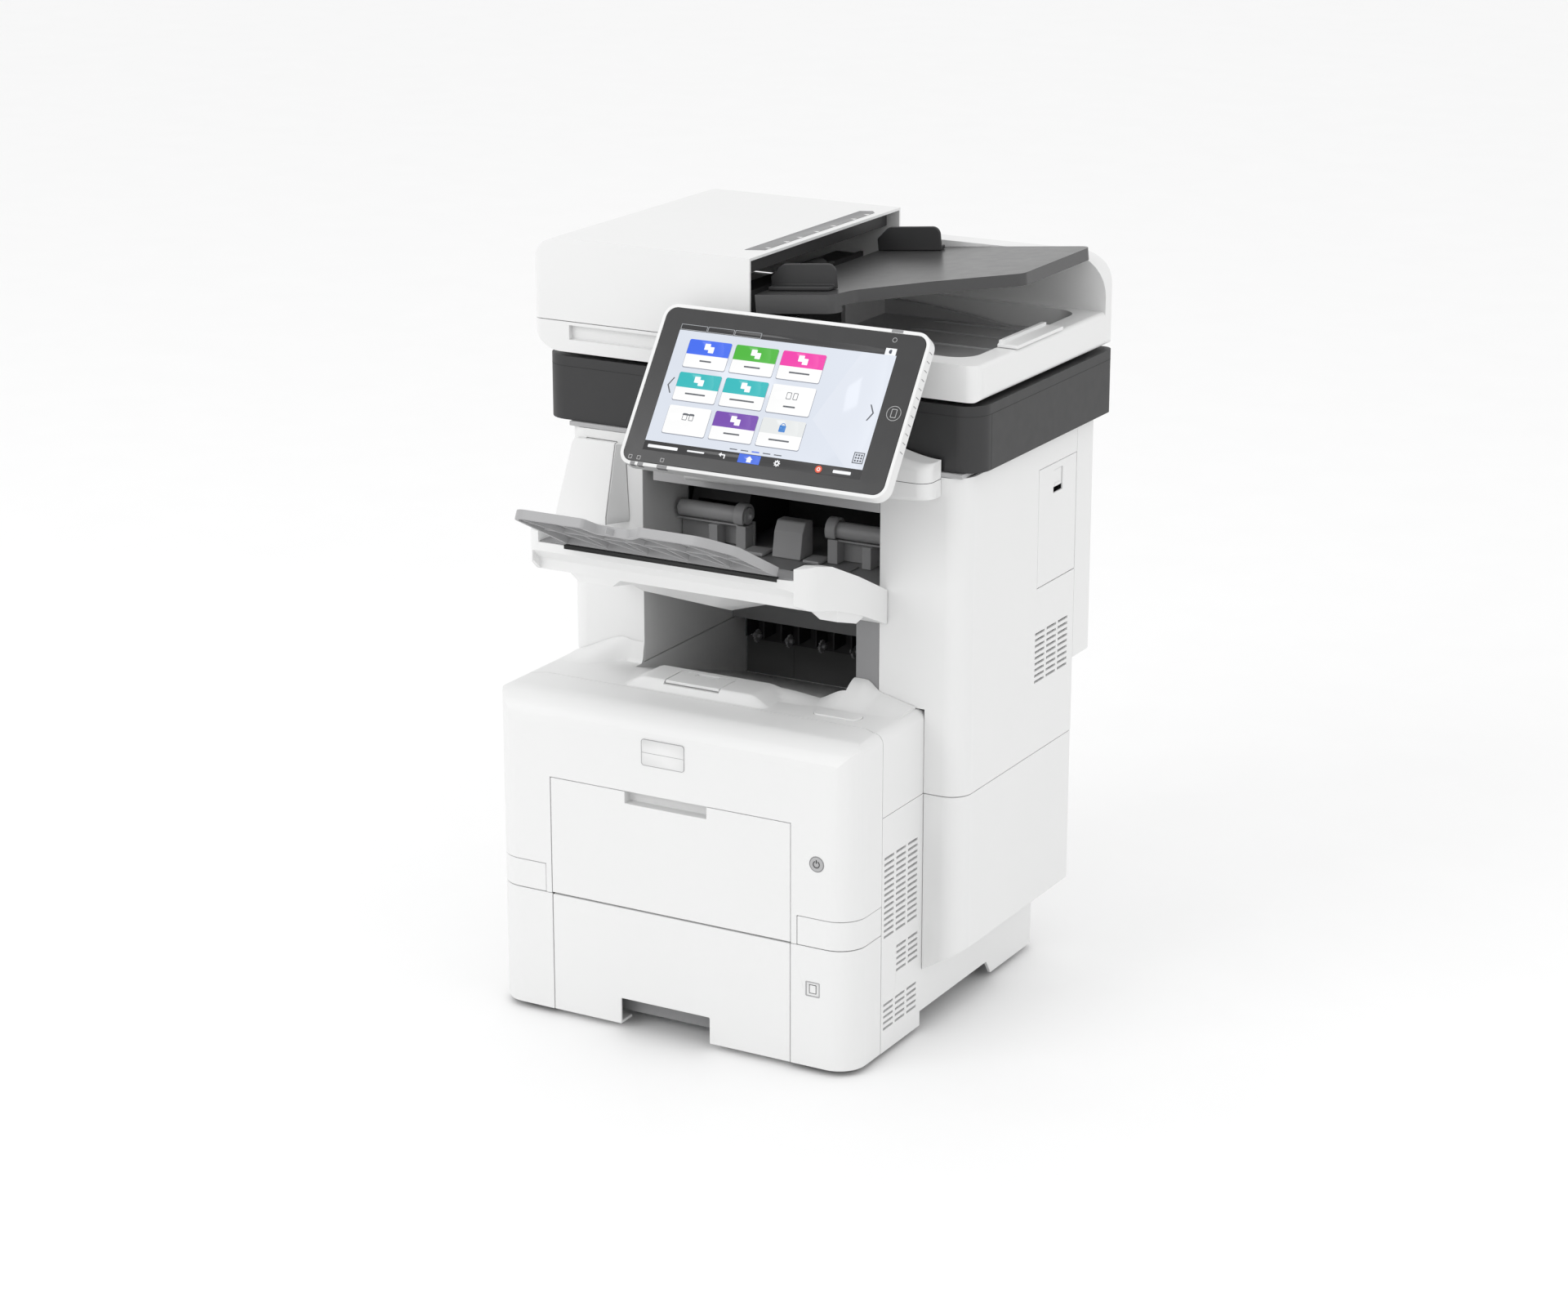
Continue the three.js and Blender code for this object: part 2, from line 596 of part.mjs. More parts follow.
// ---- operation panel ----
function panelBracket() {
  const back = TOWER_Y - FIT;
  const beam = prism("y", rounded([
    [-48, 536, 8], [-44, 525, 4], [62, 528], [176, 535, 20], [215, 537, 4], [215, 554], [-48, 554],
  ]), 113.6, back);
  const crown = hull([
    [-48, 115, 553], [213, 115, 553], [215, back, 553], [-48, back, 553],
    [-48, 128, 586], [188, 128, 586], [-48, back, 586], [188, back, 586], [214, back, 567],
  ]);
  const room = box(-40, 170, 120, 160, 540, 578);
  const lug = (x0) => join(
    box(x0, x0 + 10, 90, 132, 576, 598),
    rod("x", [x0 + 5, PIVOT.y + 2, PIVOT.z], 9, 10),
  );
  return join(cut(join(beam, crown), room), lug(58), lug(152));
}

// Drawn with the screen facing up: x across, y up the screen, z out of it.
function panelHousing() {
  const { x0, x1, length, thick, rim } = PANEL;
  const outer = rect(x0 - rim, x1 + rim, -rim, length + rim, [14, 14, 14, 14]);
  const back = rect(x0 + 6, x1 - 6, 6, length - 6, [12, 12, 12, 12]);
  const recess = rect(x0, x1, 0, length, [10.5, 10.5, 10.5, 10.5]);
  return cut(
    join(prism("z", outer, -12, 0), prism("z", back, -thick, -11)),
    prism("z", recess, -2, 1),
    prism("z", rect(x0 + 12, x1 - 12, 12, length - 12), -thick + 3, -4),
    box(x0 + 30, x0 + 40, 20, 30, -5, 1),
  );
}

function panelGlass() {
  const { x0, x1, length } = PANEL;
  return prism("z", rect(x0 + 0.4, x1 - 0.4, 0.4, length - 0.4, [10, 10, 10, 10]), -1.6, 0);
}

// ---- scanner ----
function scannerCase() {
  const { x0, x1, y0, y1, z0, z1, corner } = SCANNER;
  const outer = rect(x0, x1, y0, y1, [corner, corner, 12, 12]);
  const inset = corner - WALL;
  const inner = rect(x0 + WALL, x1 - WALL, y0 + WALL, y1 - WALL, [inset, inset, 9, 9]);
  const rail = (y) => box(x0 + 5, x1 - 5, y, y + 5, z0 + 2, 584.4);
  return join(
    cut(
      prism("z", outer, z0, z1),
      prism("z", inner, z0 + WALL, z1 - 6),
      box(-201, 165, 168, 392, z1 - 3.4, FAR),
      box(-195, 159, 174, 386, 600, FAR),
    ),
    rail(180),
    rail(375),
  );
}

function exposureGlass() {
  return box(-200.6, 164.6, 168.4, 391.6, SCANNER.z1 - 3, SCANNER.z1 - 0.2);
}

function scanCarriage() {
  return cut(box(-192, -158, 160, 400, 585, 611), box(-178, -172, 176, 384, 596, 620));
}

function platenHinge(x) {
  return join(box(x - 20, x + 20, SCANNER.y1 + FIT, 455, 592, 626), rod("x", [x, 454, 617], 9, 40));
}

// ---- document feeder ----
function feederPlan(inset, y1) {
  const { x0, x1, y0 } = FEEDER;
  return rect(x0 + inset, x1 - inset, y0 + inset, y1 - inset, [8, 14, 14, 8]);
}

function platenCover() {
  const { x0, x1, y0, y1, z0, seam, rim, split } = FEEDER;
  const top = seam - SEAM;
  const body = join(
    prism("y", rounded([[x0, z0, 29], [split + 2, z0], [split + 2, top], [x0, top]]), y0, y1),
    prism("y", rounded([[split + 1, z0], [x1, z0, 7], [x1, rim, 5], [split + 1, rim]]), y0, y1),
    prism("y", rounded([[split + 1, z0 + 5], [x1, z0 + 5], [x1, 718, 40], [split + 1, 718]]), 425, y1),
  );
  const partition = box(-3, 0, 153, 443, 630, 650);
  return join(
    cut(
      common(body, prism("z", feederPlan(0, y1), 0, FAR)),
      box(x0 + 12, -1, 153, 443, 634, FAR),
      prism("z", rect(10, 227, 172, 416, [10, 24, 24, 10]), 641, FAR),
      box(-197, -91, y0 - 1, y0 + 6, 640.6, 655),
    ),
    partition,
  );
}

function feederCover() {
  const { x0, y0, seam, top, split } = FEEDER;
  const y1 = 453;
  const section = (inset, reach) => rounded([
    [x0 + inset, seam - inset], [split + reach, seam - inset],
    [split + reach, top - inset], [x0 + inset, top - inset, 30 - inset],
  ]);
  const form = (inset, reach) => common(
    prism("y", section(inset, reach), y0 + inset, y1 - inset),
    prism("z", feederPlan(inset, y1), 0, FAR),
  );
  return cut(form(0, 0), form(2.6, 20));
}

// The input tray and its guides are drawn level and tilted together, from the tray's hinge line.
function inputTray() {
  const { length, thick } = INPUT;
  const plate = prism("z", rounded([
    [0, 150], [84, 150, 10], [92, 176, 20], [150, 222, 40], [length, 268, 12], [length, 421, 12], [0, 421],
  ]), 0, thick);
  const hub = prism("z", rounded([[0, 149], [86, 149, 10], [86, 172, 10], [0, 172]]), -6, thick);
  return cut(
    join(plate, hub),
    box(10, 84, 182, 413, -FAR, thick - 3),
    box(80, 140, 250, 413, -FAR, thick - 3),
    box(130, length - 10, 290, 413, -FAR, thick - 3),
  );
}

function guide(y, outwards) {
  const z = INPUT.thick + FIT;
  const side = rounded([[2, z], [73, z], [73, z + 24, 8], [16, z + 24, 10], [2, z + 12]]);
  const fence = prism("y", side, y - 1.8, y + 1.8);
  const low = Math.min(y, y + outwards * 12);
  return join(fence, box(4, 71, low, low + 12, z, z + 4));
}

function outputFlap() {
  return join(
    box(228, FEEDER.x1 - 0.4, 229, 329, FEEDER.rim + 0.6, FEEDER.rim + 4),
    box(228, 233, 232, 326, FEEDER.rim + 0.6, FEEDER.rim + 7),
  );
}

function pickupRoller() {
  return join(rod("y", [-15, 295, 699], 10, 60, 20), rod("y", [-15, 295, 699], 3, 110, 10));
}

// ---- assembly ----
piece("chassis", chassis(), STEEL());
piece("foot_front_left", foot(-150, 48), RUBBER());
piece("foot_front_right", foot(150, 48), RUBBER());
piece("foot_rear_left", foot(-165, 350), RUBBER());
piece("foot_rear_right", foot(165, 350), RUBBER());
piece("left_side_cover", leftSideCover(), WHITE());
piece("right_side_cover", rightSideCover(), WHITE());
piece("rear_panel", rearPanel(), WHITE());
piece("rear_cover", rearCover(), WHITE());
piece("top_cover", topCover(), WHITE());
piece("front_cover", frontCover(), WHITE());
piece("cover_release_button", releaseButton(), WHITE());
piece("power_button", powerButton(), LIGHT_GREY());
piece("bypass_door", bypassDoor(), WHITE());
piece("left_corner_piece", cornerPiece(mirrored), WHITE());
piece("right_corner_piece", cornerPiece(box), WHITE());
piece("left_feed_front", feedFront(mirrored), WHITE());
piece("right_feed_front", cut(feedFront(box), sizeWindow()), WHITE());
piece("cassette_body", cassetteBody(), GREY());
piece("cassette_front", cassetteFront(), WHITE());
piece("cassette_lift_plate", liftPlate(), STEEL());
piece("side_fence_left", sideFence(mirrored), GREY());
piece("side_fence_right", sideFence(box), GREY());
piece("end_fence", endFence(), GREY());
piece("print_cartridge", printCartridge(), BLACK());
piece("laser_unit", laserUnit(), BLACK());
piece("fuser_unit", fuserUnit(), GREY());
piece("feed_roller", feedRoller(), RUBBER());
piece("power_inlet", powerInlet(), BLACK());
piece("cooling_fan", coolingFan(), BLACK());
piece("stopper_fence", stopperFence(), WHITE());

piece("tower_left_cover", towerLeftCover(), WHITE());
piece("tower_right_cover", towerRightCover(), WHITE());
piece("tower_lower_cover", towerLowerCover(), WHITE());
piece("tower_rear_cover", towerRearCover(), WHITE());
piece("tower_deck", towerDeck(), LIGHT_GREY());
piece("inner_frame", innerFrame(), GREY());
piece("side_door", sideDoor(), WHITE());
piece("side_door_latch", sideDoorLatch(), WHITE());
piece("staple_cover", stapleCover(), WHITE());
piece("exit_roller_left", exitRoller(-106, -28), LIGHT_GREY());
piece("exit_roller_right", exitRoller(62, 145), LIGHT_GREY());
piece("stapler_unit", staplerUnit(), BLACK());
piece("finisher_tray", finisherTray(), WHITE());

const extension = new THREE.Group();
extension.position.set(0, FLAP.y, FLAP.z);
extension.rotation.x = -FLAP_TILT;
group.add(extension);
piece("tray_extension", trayExtension(), GREY(), extension);

const panel = new THREE.Group();
panel.position.set(0, PANEL.y, PANEL.z);
panel.rotation.x = THREE.MathUtils.degToRad(PANEL.tilt);
group.add(panel);
piece("panel_bracket", panelBracket(), WHITE());
piece("panel_housing", panelHousing(), WHITE(), panel);
piece("panel_glass", panelGlass(), GLASS(), panel);

piece("scanner_case", scannerCase(), CHARCOAL());
piece("exposure_glass", exposureGlass(), GLASS());
piece("scan_carriage", scanCarriage(), BLACK());
piece("platen_hinge_left", platenHinge(-150), CHARCOAL());
piece("platen_hinge_right", platenHinge(170), CHARCOAL());
piece("platen_cover", platenCover(), WHITE());
piece("feeder_cover", feederCover(), WHITE());
piece("output_flap", outputFlap(), WHITE());
piece("pickup_roller", pickupRoller(), RUBBER());

const input = new THREE.Group();
input.position.set(INPUT.x, 0, INPUT.z);
input.rotation.y = -THREE.MathUtils.degToRad(INPUT.tilt);
group.add(input);
piece("input_tray", inputTray(), CHARCOAL(), input);
piece("front_guide", guide(180, -1), CHARCOAL(), input);
piece("rear_guide", guide(396, 1), CHARCOAL(), input);

// The part's own origin is the middle of its footprint, at the floor.
group.position.set(-(FEEDER.x0 + SCANNER.x1) / 2, -(FRONT + BACK) / 2, FOOT_DROP);
const photocopier = new THREE.Group();
photocopier.add(group);

export default photocopier;
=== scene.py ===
# A multifunction photocopier on a pale floor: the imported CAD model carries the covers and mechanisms, and
# this script adds their materials, softened edges and the fine pieces, such as the screen, seams and ribs.
# Places are in millimetres in the machine's frame: x to its right, y to its back and z up, from the middle of
# the cassette front's lower edge. at() turns them into metres in the part's frame.
import json
import math

import bpy
import bmesh
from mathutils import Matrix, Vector


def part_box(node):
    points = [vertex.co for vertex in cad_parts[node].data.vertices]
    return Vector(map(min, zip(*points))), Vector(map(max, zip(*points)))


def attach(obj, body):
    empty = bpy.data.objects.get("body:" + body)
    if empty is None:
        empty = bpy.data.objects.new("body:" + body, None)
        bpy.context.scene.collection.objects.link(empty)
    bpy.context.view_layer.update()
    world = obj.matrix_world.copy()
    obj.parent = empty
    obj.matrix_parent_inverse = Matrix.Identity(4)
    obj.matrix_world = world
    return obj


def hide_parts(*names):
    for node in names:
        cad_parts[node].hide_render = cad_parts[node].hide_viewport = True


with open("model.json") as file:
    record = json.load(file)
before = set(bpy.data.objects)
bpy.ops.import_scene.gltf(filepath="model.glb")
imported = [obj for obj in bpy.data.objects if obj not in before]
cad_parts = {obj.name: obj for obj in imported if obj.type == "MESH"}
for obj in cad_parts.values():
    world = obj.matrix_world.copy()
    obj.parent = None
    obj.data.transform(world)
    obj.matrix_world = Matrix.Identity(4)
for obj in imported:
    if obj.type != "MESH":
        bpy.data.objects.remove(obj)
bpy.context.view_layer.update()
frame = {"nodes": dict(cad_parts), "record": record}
nodes = frame["nodes"]

# ---- the machine's frame, taken from the cassette front ----
front_low, front_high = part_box("cassette_front")
ORIGIN = Vector(((front_low.x + front_high.x) / 2, front_low.y, front_low.z))

# ---- driving dimensions (mm), the same as the CAD's ----
WELL = {"x0": -112, "x1": 125, "y1": 345, "floor": 258}
OPENING = {"x0": -112, "x1": 151, "sill": 436, "head": 512}
ROLLER = {"y": 205, "z": 470}
PANEL = {"x0": -63.5, "x1": 214.1, "length": 158.2, "y": 25, "z": 563.8, "tilt": 55.1}
FLAP = {"x0": -96, "x1": 132, "length": 108, "thick": 9, "y": -20, "z": 492, "tilt": 27}
SCANNER = {"x0": -228, "x1": 252, "y0": 145, "y1": 445, "z0": 560.2, "z1": 624, "corner": 25}
FEEDER_TOP = 740.5
ARC = 8  # chords in a rounded corner


def at(x, y, z):
    return ORIGIN + Vector((x, y, z)) / 1000


# ---- camera ----
CAMERA_PLACE = (1708.4, -2802.4, 1415.0)
CAMERA_AZIMUTH = 29.438
CAMERA_ELEVATION = 17.373
LENS = 83.85


def make_camera():
    data = bpy.data.cameras.new("camera")
    data.lens = LENS
    data.sensor_width = 36
    data.clip_end = 50
    camera = bpy.data.objects.new("camera", data)
    camera.location = at(*CAMERA_PLACE)
    camera.rotation_euler = (math.radians(90 - CAMERA_ELEVATION), 0, math.radians(CAMERA_AZIMUTH))
    bpy.context.scene.collection.objects.link(camera)
    bpy.context.scene.camera = camera


# ---- materials ----
def link(tree, source, target):
    tree.links.new(source, target)


def moulded(name, color, roughness, grain=0.12, grain_size=0.0009, variation=0.012, metallic=0.0):
    """Moulded plastic or rolled metal: a fine spark-eroded grain, and faint changes of tone and gloss."""
    material = bpy.data.materials.new(name)
    material.use_nodes = True
    tree = material.node_tree
    shader = tree.nodes["Principled BSDF"]
    shader.inputs["Metallic"].default_value = metallic
    place = tree.nodes.new("ShaderNodeTexCoord").outputs["Object"]

    def noise(scale, detail):
        node = tree.nodes.new("ShaderNodeTexNoise")
        node.inputs["Scale"].default_value = scale
        node.inputs["Detail"].default_value = detail
        link(tree, place, node.inputs["Vector"])
        return node.outputs["Fac"]

    tone = tree.nodes.new("ShaderNodeMix")
    tone.data_type = "RGBA"
    tone.inputs[6].default_value = (*[c * (1 - variation) for c in color], 1)
    tone.inputs[7].default_value = (*[min(1, c * (1 + variation)) for c in color], 1)
    link(tree, noise(9, 3), tone.inputs["Factor"])
    link(tree, tone.outputs[2], shader.inputs["Base Color"])

    gloss = tree.nodes.new("ShaderNodeMapRange")
    gloss.inputs["To Min"].default_value = roughness - 0.05
    gloss.inputs["To Max"].default_value = roughness + 0.05
    link(tree, noise(70, 4), gloss.inputs["Value"])
    link(tree, gloss.outputs["Result"], shader.inputs["Roughness"])

    bump = tree.nodes.new("ShaderNodeBump")
    bump.inputs["Strength"].default_value = grain
    bump.inputs["Distance"].default_value = 0.0002
    link(tree, noise(1 / grain_size, 2), bump.inputs["Height"])
    link(tree, bump.outputs["Normal"], shader.inputs["Normal"])
    return material


def brushed(name, color, roughness):
    """Rolled sheet steel: long fine streaks along x."""
    material = moulded(name, color, roughness, grain=0.08, metallic=1.0)
    tree = material.node_tree
    stretch = tree.nodes.new("ShaderNodeMapping")
    stretch.inputs["Scale"].default_value = (0.06, 1, 1)
    place = tree.nodes["Texture Coordinate"].outputs["Object"]
    link(tree, place, stretch.inputs["Vector"])
    for node in tree.nodes:
        if node.type == "TEX_NOISE":
            link(tree, stretch.outputs["Vector"], node.inputs["Vector"])
    return material


def lit(name, color, strength, wash=0.03):
    """A lit patch of the display, a little uneven like a backlight."""
    material = bpy.data.materials.new(name)
    material.use_nodes = True
    tree = material.node_tree
    shader = tree.nodes["Principled BSDF"]
    shader.inputs["Base Color"].default_value = (0.012, 0.012, 0.012, 1)
    shader.inputs["Roughness"].default_value = 0.14
    shader.inputs["Emission Strength"].default_value = strength
    noise = tree.nodes.new("ShaderNodeTexNoise")
    noise.inputs["Scale"].default_value = 22
    place = tree.nodes.new("ShaderNodeTexCoord").outputs["Object"]
    link(tree, place, noise.inputs["Vector"])
    tone = tree.nodes.new("ShaderNodeMix")
    tone.data_type = "RGBA"
    tone.inputs[6].default_value = (*[c * (1 - wash) for c in color], 1)
    tone.inputs[7].default_value = (*color, 1)
    link(tree, noise.outputs["Fac"], tone.inputs["Factor"])
    link(tree, tone.outputs[2], shader.inputs["Emission Color"])
    return material


def clear_glass(name, tint):
    material = bpy.data.materials.new(name)
    material.use_nodes = True
    tree = material.node_tree
    shader = tree.nodes["Principled BSDF"]
    shader.inputs["Transmission Weight"].default_value = 0.9
    shader.inputs["IOR"].default_value = 1.5
    noise = tree.nodes.new("ShaderNodeTexNoise")
    noise.inputs["Scale"].default_value = 14
    place = tree.nodes.new("ShaderNodeTexCoord").outputs["Object"]
    link(tree, place, noise.inputs["Vector"])
    smear = tree.nodes.new("ShaderNodeMapRange")
    smear.inputs["To Min"].default_value = 0.02
    smear.inputs["To Max"].default_value = 0.06
    link(tree, noise.outputs["Fac"], smear.inputs["Value"])
    link(tree, smear.outputs["Result"], shader.inputs["Roughness"])
    shader.inputs["Base Color"].default_value = (*tint, 1)
    return material


WHITE = moulded("white_plastic", (0.77, 0.772, 0.77), 0.42, grain=0.1)
CHARCOAL = moulded("charcoal_plastic", (0.024, 0.024, 0.025), 0.5, grain=0.25, variation=0.05)
GREY = moulded("grey_plastic", (0.25, 0.25, 0.255), 0.5, grain=0.22, variation=0.03)
LIGHT_GREY = moulded("light_grey_plastic", (0.42, 0.42, 0.425), 0.45, grain=0.2, variation=0.02)
DARK = moulded("dark_plastic", (0.02, 0.02, 0.021), 0.55, grain=0.3, variation=0.06)
# Black plastic and seams, and also painted shade where black sheets stand in for shadow.
BLACK_AND_PAINTED_SHADE = moulded("black_and_painted_shade", (0.013, 0.0135, 0.0135), 0.7, grain=0.2)
# Painted shade: the well's back plates are darkened to stand for the shade deep inside the well.
WELL_PAINTED_SHADE = moulded("well_painted_shade", (0.085, 0.085, 0.086), 0.55, grain=0.25, variation=0.04)
GREY_WALL = moulded("finisher_grey", (0.38, 0.38, 0.385), 0.5, grain=0.22, variation=0.03)
FLAP_GREY = moulded("flap_grey", (0.36, 0.36, 0.365), 0.42, grain=0.22, variation=0.03)
# Grey plastic, lightened as painted light to make up for the shade the input tray casts on the bed.
BED_GREY_PAINTED_LIGHT = moulded("bed_grey_painted_light", (0.46, 0.46, 0.465), 0.4, grain=0.2, variation=0.03)
STEEL = brushed("zinc_steel", (0.56, 0.57, 0.58), 0.34)
RUBBER = moulded("black_rubber", (0.022, 0.022, 0.022), 0.78, grain=0.5, grain_size=0.0014, variation=0.08)
BEZEL = moulded("glossy_lens", (0.03, 0.03, 0.031), 0.16, grain=0.015, variation=0.02)
TRAY_TONE = moulded("tray_charcoal", (0.055, 0.055, 0.056), 0.3, grain=0.12, variation=0.04)
GLASS = clear_glass("float_glass", (0.82, 0.93, 0.9))

SLOT_MATERIAL = {
    "white_shell": WHITE,
    "charcoal_shell": CHARCOAL,
    "grey_plastic": GREY,
    "light_grey_plastic": LIGHT_GREY,
    "dark_plastic": DARK,
    "frame_steel": STEEL,
    "rubber": RUBBER,
    "panel_glass": BEZEL,
    "scan_glass": GLASS,
}
SLOT_OF = {row["node"]: row["material_slot"] for row in frame["record"]["subparts"]}


# ---- the CAD nodes' finish ----
SHARP = math.radians(32)


def round_edges(obj, width):
    bevel = obj.modifiers.new("bevel", "BEVEL")
    bevel.width = width / 1000
    bevel.segments = 2
    bevel.limit_method = "ANGLE"
    bevel.angle_limit = SHARP
    bevel.miter_outer = "MITER_ARC"


def weigh_normals(obj):
    shade = obj.modifiers.new("shade", "WEIGHTED_NORMAL")
    shade.keep_sharp = False
    shade.weight = 100


def finish_edges(obj, width, flatten):
    """Rounds the sharp edges by width (mm) and keeps the flat faces' shading flat."""
    for polygon in obj.data.polygons:
        polygon.use_smooth = True
    joined = obj.modifiers.new("weld", "WELD")
    joined.merge_threshold = 0.00001
    if flatten:
        plane = obj.modifiers.new("plane", "DECIMATE")
        plane.decimate_type = "DISSOLVE"
        plane.angle_limit = math.radians(0.4)
    round_edges(obj, width)
    weigh_normals(obj)


EDGE = {
    "front_cover": 1.0,
    "cassette_front": 1.0,
    "panel_housing": 1.6,
    "panel_bracket": 2.5,
    "platen_cover": 1.4,
    "feeder_cover": 1.2,
    "scanner_case": 1.2,
    "finisher_tray": 1.0,
    "tray_extension": 1.0,
    "input_tray": 1.4,
    "front_guide": 1.0,
    "rear_guide": 1.0,
    "top_cover": 1.2,
    "panel_glass": 0.3,
    "exposure_glass": 0.3,
    "left_side_cover": 0.3,
    "right_side_cover": 0.3,
    "tower_right_cover": 0.3,
}

LOUVRED = ("left_side_cover", "right_side_cover", "tower_right_cover")

OWN_MATERIAL = {"input_tray": TRAY_TONE}

for name, node in nodes.items():
    node.data.materials.clear()
    node.data.materials.append(OWN_MATERIAL.get(name, SLOT_MATERIAL[SLOT_OF[name]]))
    finish_edges(node, EDGE.get(name, 0.7), flatten=name not in LOUVRED)


# ---- mesh helpers: a part is (points in mm, faces) ----
def outline(corners):
    """An outline from [u, v] or [u, v, radius] corners, anticlockwise, with the rounded ones as arcs."""
    points = []
    count = len(corners)
    for i, corner in enumerate(corners):
        here = Vector(corner[:2])
        radius = corner[2] if len(corner) > 2 else 0
        if radius <= 0:
            points.append(tuple(here))
            continue
        back = (Vector(corners[i - 1][:2]) - here).normalized()
        ahead = (Vector(corners[(i + 1) % count][:2]) - here).normalized()
        half = math.acos(max(-1, min(1, back.dot(ahead)))) / 2
        centre = here + (back + ahead).normalized() * (radius / math.sin(half))
        arm = here + back * (radius / math.tan(half)) - centre
        turn = math.copysign(math.pi - 2 * half, -back.cross(ahead))
        for k in range(ARC + 1):
            angle = turn * k / ARC
            points.append((
                centre.x + arm.x * math.cos(angle) - arm.y * math.sin(angle),
                centre.y + arm.x * math.sin(angle) + arm.y * math.cos(angle),
            ))
    return points


def rect(u0, u1, v0, v1, radius=0):
    return outline([[u0, v0, radius], [u1, v0, radius], [u1, v1, radius], [u0, v1, radius]])


def circle(u, v, radius, sides=32, start=0.0):
    turns = [start + 2 * math.pi * k / sides for k in range(sides)]
    return [(u + radius * math.cos(a), v + radius * math.sin(a)) for a in turns]


PLACE = {
    "x": lambda u, v, w: (w, u, v),
    "y": lambda u, v, w: (u, w, v),
    "z": lambda u, v, w: (u, v, w),
}


def prism(axis, points, low, high):
    """An outline in (y, z), (x, z) or (x, y), drawn out along the axis."""
    count = len(points)
    turn = PLACE[axis]
    verts = [turn(u, v, low) for u, v in points] + [turn(u, v, high) for u, v in points]
    faces = [tuple(reversed(range(count))), tuple(range(count, 2 * count))]
    faces += [(i, (i + 1) % count, count + (i + 1) % count, count + i) for i in range(count)]
    return verts, faces


def ring(axis, outer, inner, low, high):
    """The band between two outlines with the same number of points, drawn out along the axis."""
    count = len(outer)
    turn = PLACE[axis]
    loops = [(outer, low), (outer, high), (inner, high), (inner, low)]
    verts = [turn(u, v, w) for points, w in loops for u, v in points]
    faces = []
    for loop in range(4):
        a = loop * count
        b = (loop + 1) % 4 * count
        faces += [(a + i, a + (i + 1) % count, b + (i + 1) % count, b + i) for i in range(count)]
    return verts, faces


def frame_line(axis, box, corner, line, inner_corner, low, high):
    """A rounded rectangle's outline, of the given line width."""
    u0, u1, v0, v1 = box
    inner = rect(u0 + line, u1 - line, v0 + line, v1 - line, inner_corner)
    return ring(axis, rect(u0, u1, v0, v1, corner), inner, low, high)


def block(x0, x1, y0, y1, z0, z1):
    return prism("z", [(x0, y0), (x1, y0), (x1, y1), (x0, y1)], z0, z1)


def rod(axis, centre, radius, length, sides=28):
    x, y, z = centre
    u, v, w = {"x": (y, z, x), "y": (x, z, y), "z": (x, y, z)}[axis]
    return prism(axis, circle(u, v, radius, sides), w - length / 2, w + length / 2)


def on_panel(u, v, w):
    """Operation panel: u across, v up the screen, w out of the glass."""
    tilt = math.radians(PANEL["tilt"])
    y = PANEL["y"] + v * math.cos(tilt) - w * math.sin(tilt)
    return at(u, y, PANEL["z"] + v * math.sin(tilt) + w * math.cos(tilt))


def on_flap(x, y, z):
    """Tray extension, drawn lying flat with its hinge line at y 0."""
    tilt = math.radians(FLAP["tilt"])
    ahead = FLAP["y"] + y * math.cos(tilt) + z * math.sin(tilt)
    return at(x, ahead, FLAP["z"] - y * math.sin(tilt) + z * math.cos(tilt))


def make(name, parts, material, body, edge=0.0, place=at):
    """One piece from several parts, riding on a body."""
    bm = bmesh.new()
    for verts, faces in parts:
        made = [bm.verts.new(place(*v)) for v in verts]
        for face in faces:
            bm.faces.new([made[i] for i in face])
    bmesh.ops.recalc_face_normals(bm, faces=bm.faces)
    data = bpy.data.meshes.new(name)
    bm.to_mesh(data)
    bm.free()
    data.materials.append(material)
    for polygon in data.polygons:
        polygon.use_smooth = True
    piece = bpy.data.objects.new(name, data)
    bpy.context.scene.collection.objects.link(piece)
    soften(piece, edge)
    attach(piece, body)
    return piece


def soften(obj, width):
    """Rounds a piece's sharp edges by width (mm), or keeps them crisp where the width is 0."""
    if width:
        round_edges(obj, width)
    weigh_normals(obj)
    if not width:
        split = obj.modifiers.new("split", "EDGE_SPLIT")
        split.split_angle = SHARP


# ---- the panel's bracket ----
def ease(t):
    t = max(0.0, min(1.0, t))
    return t * t * (3 - 2 * t)


def spread(low, high, steps):
    return [low + (high - low) * k / steps for k in range(steps + 1)]


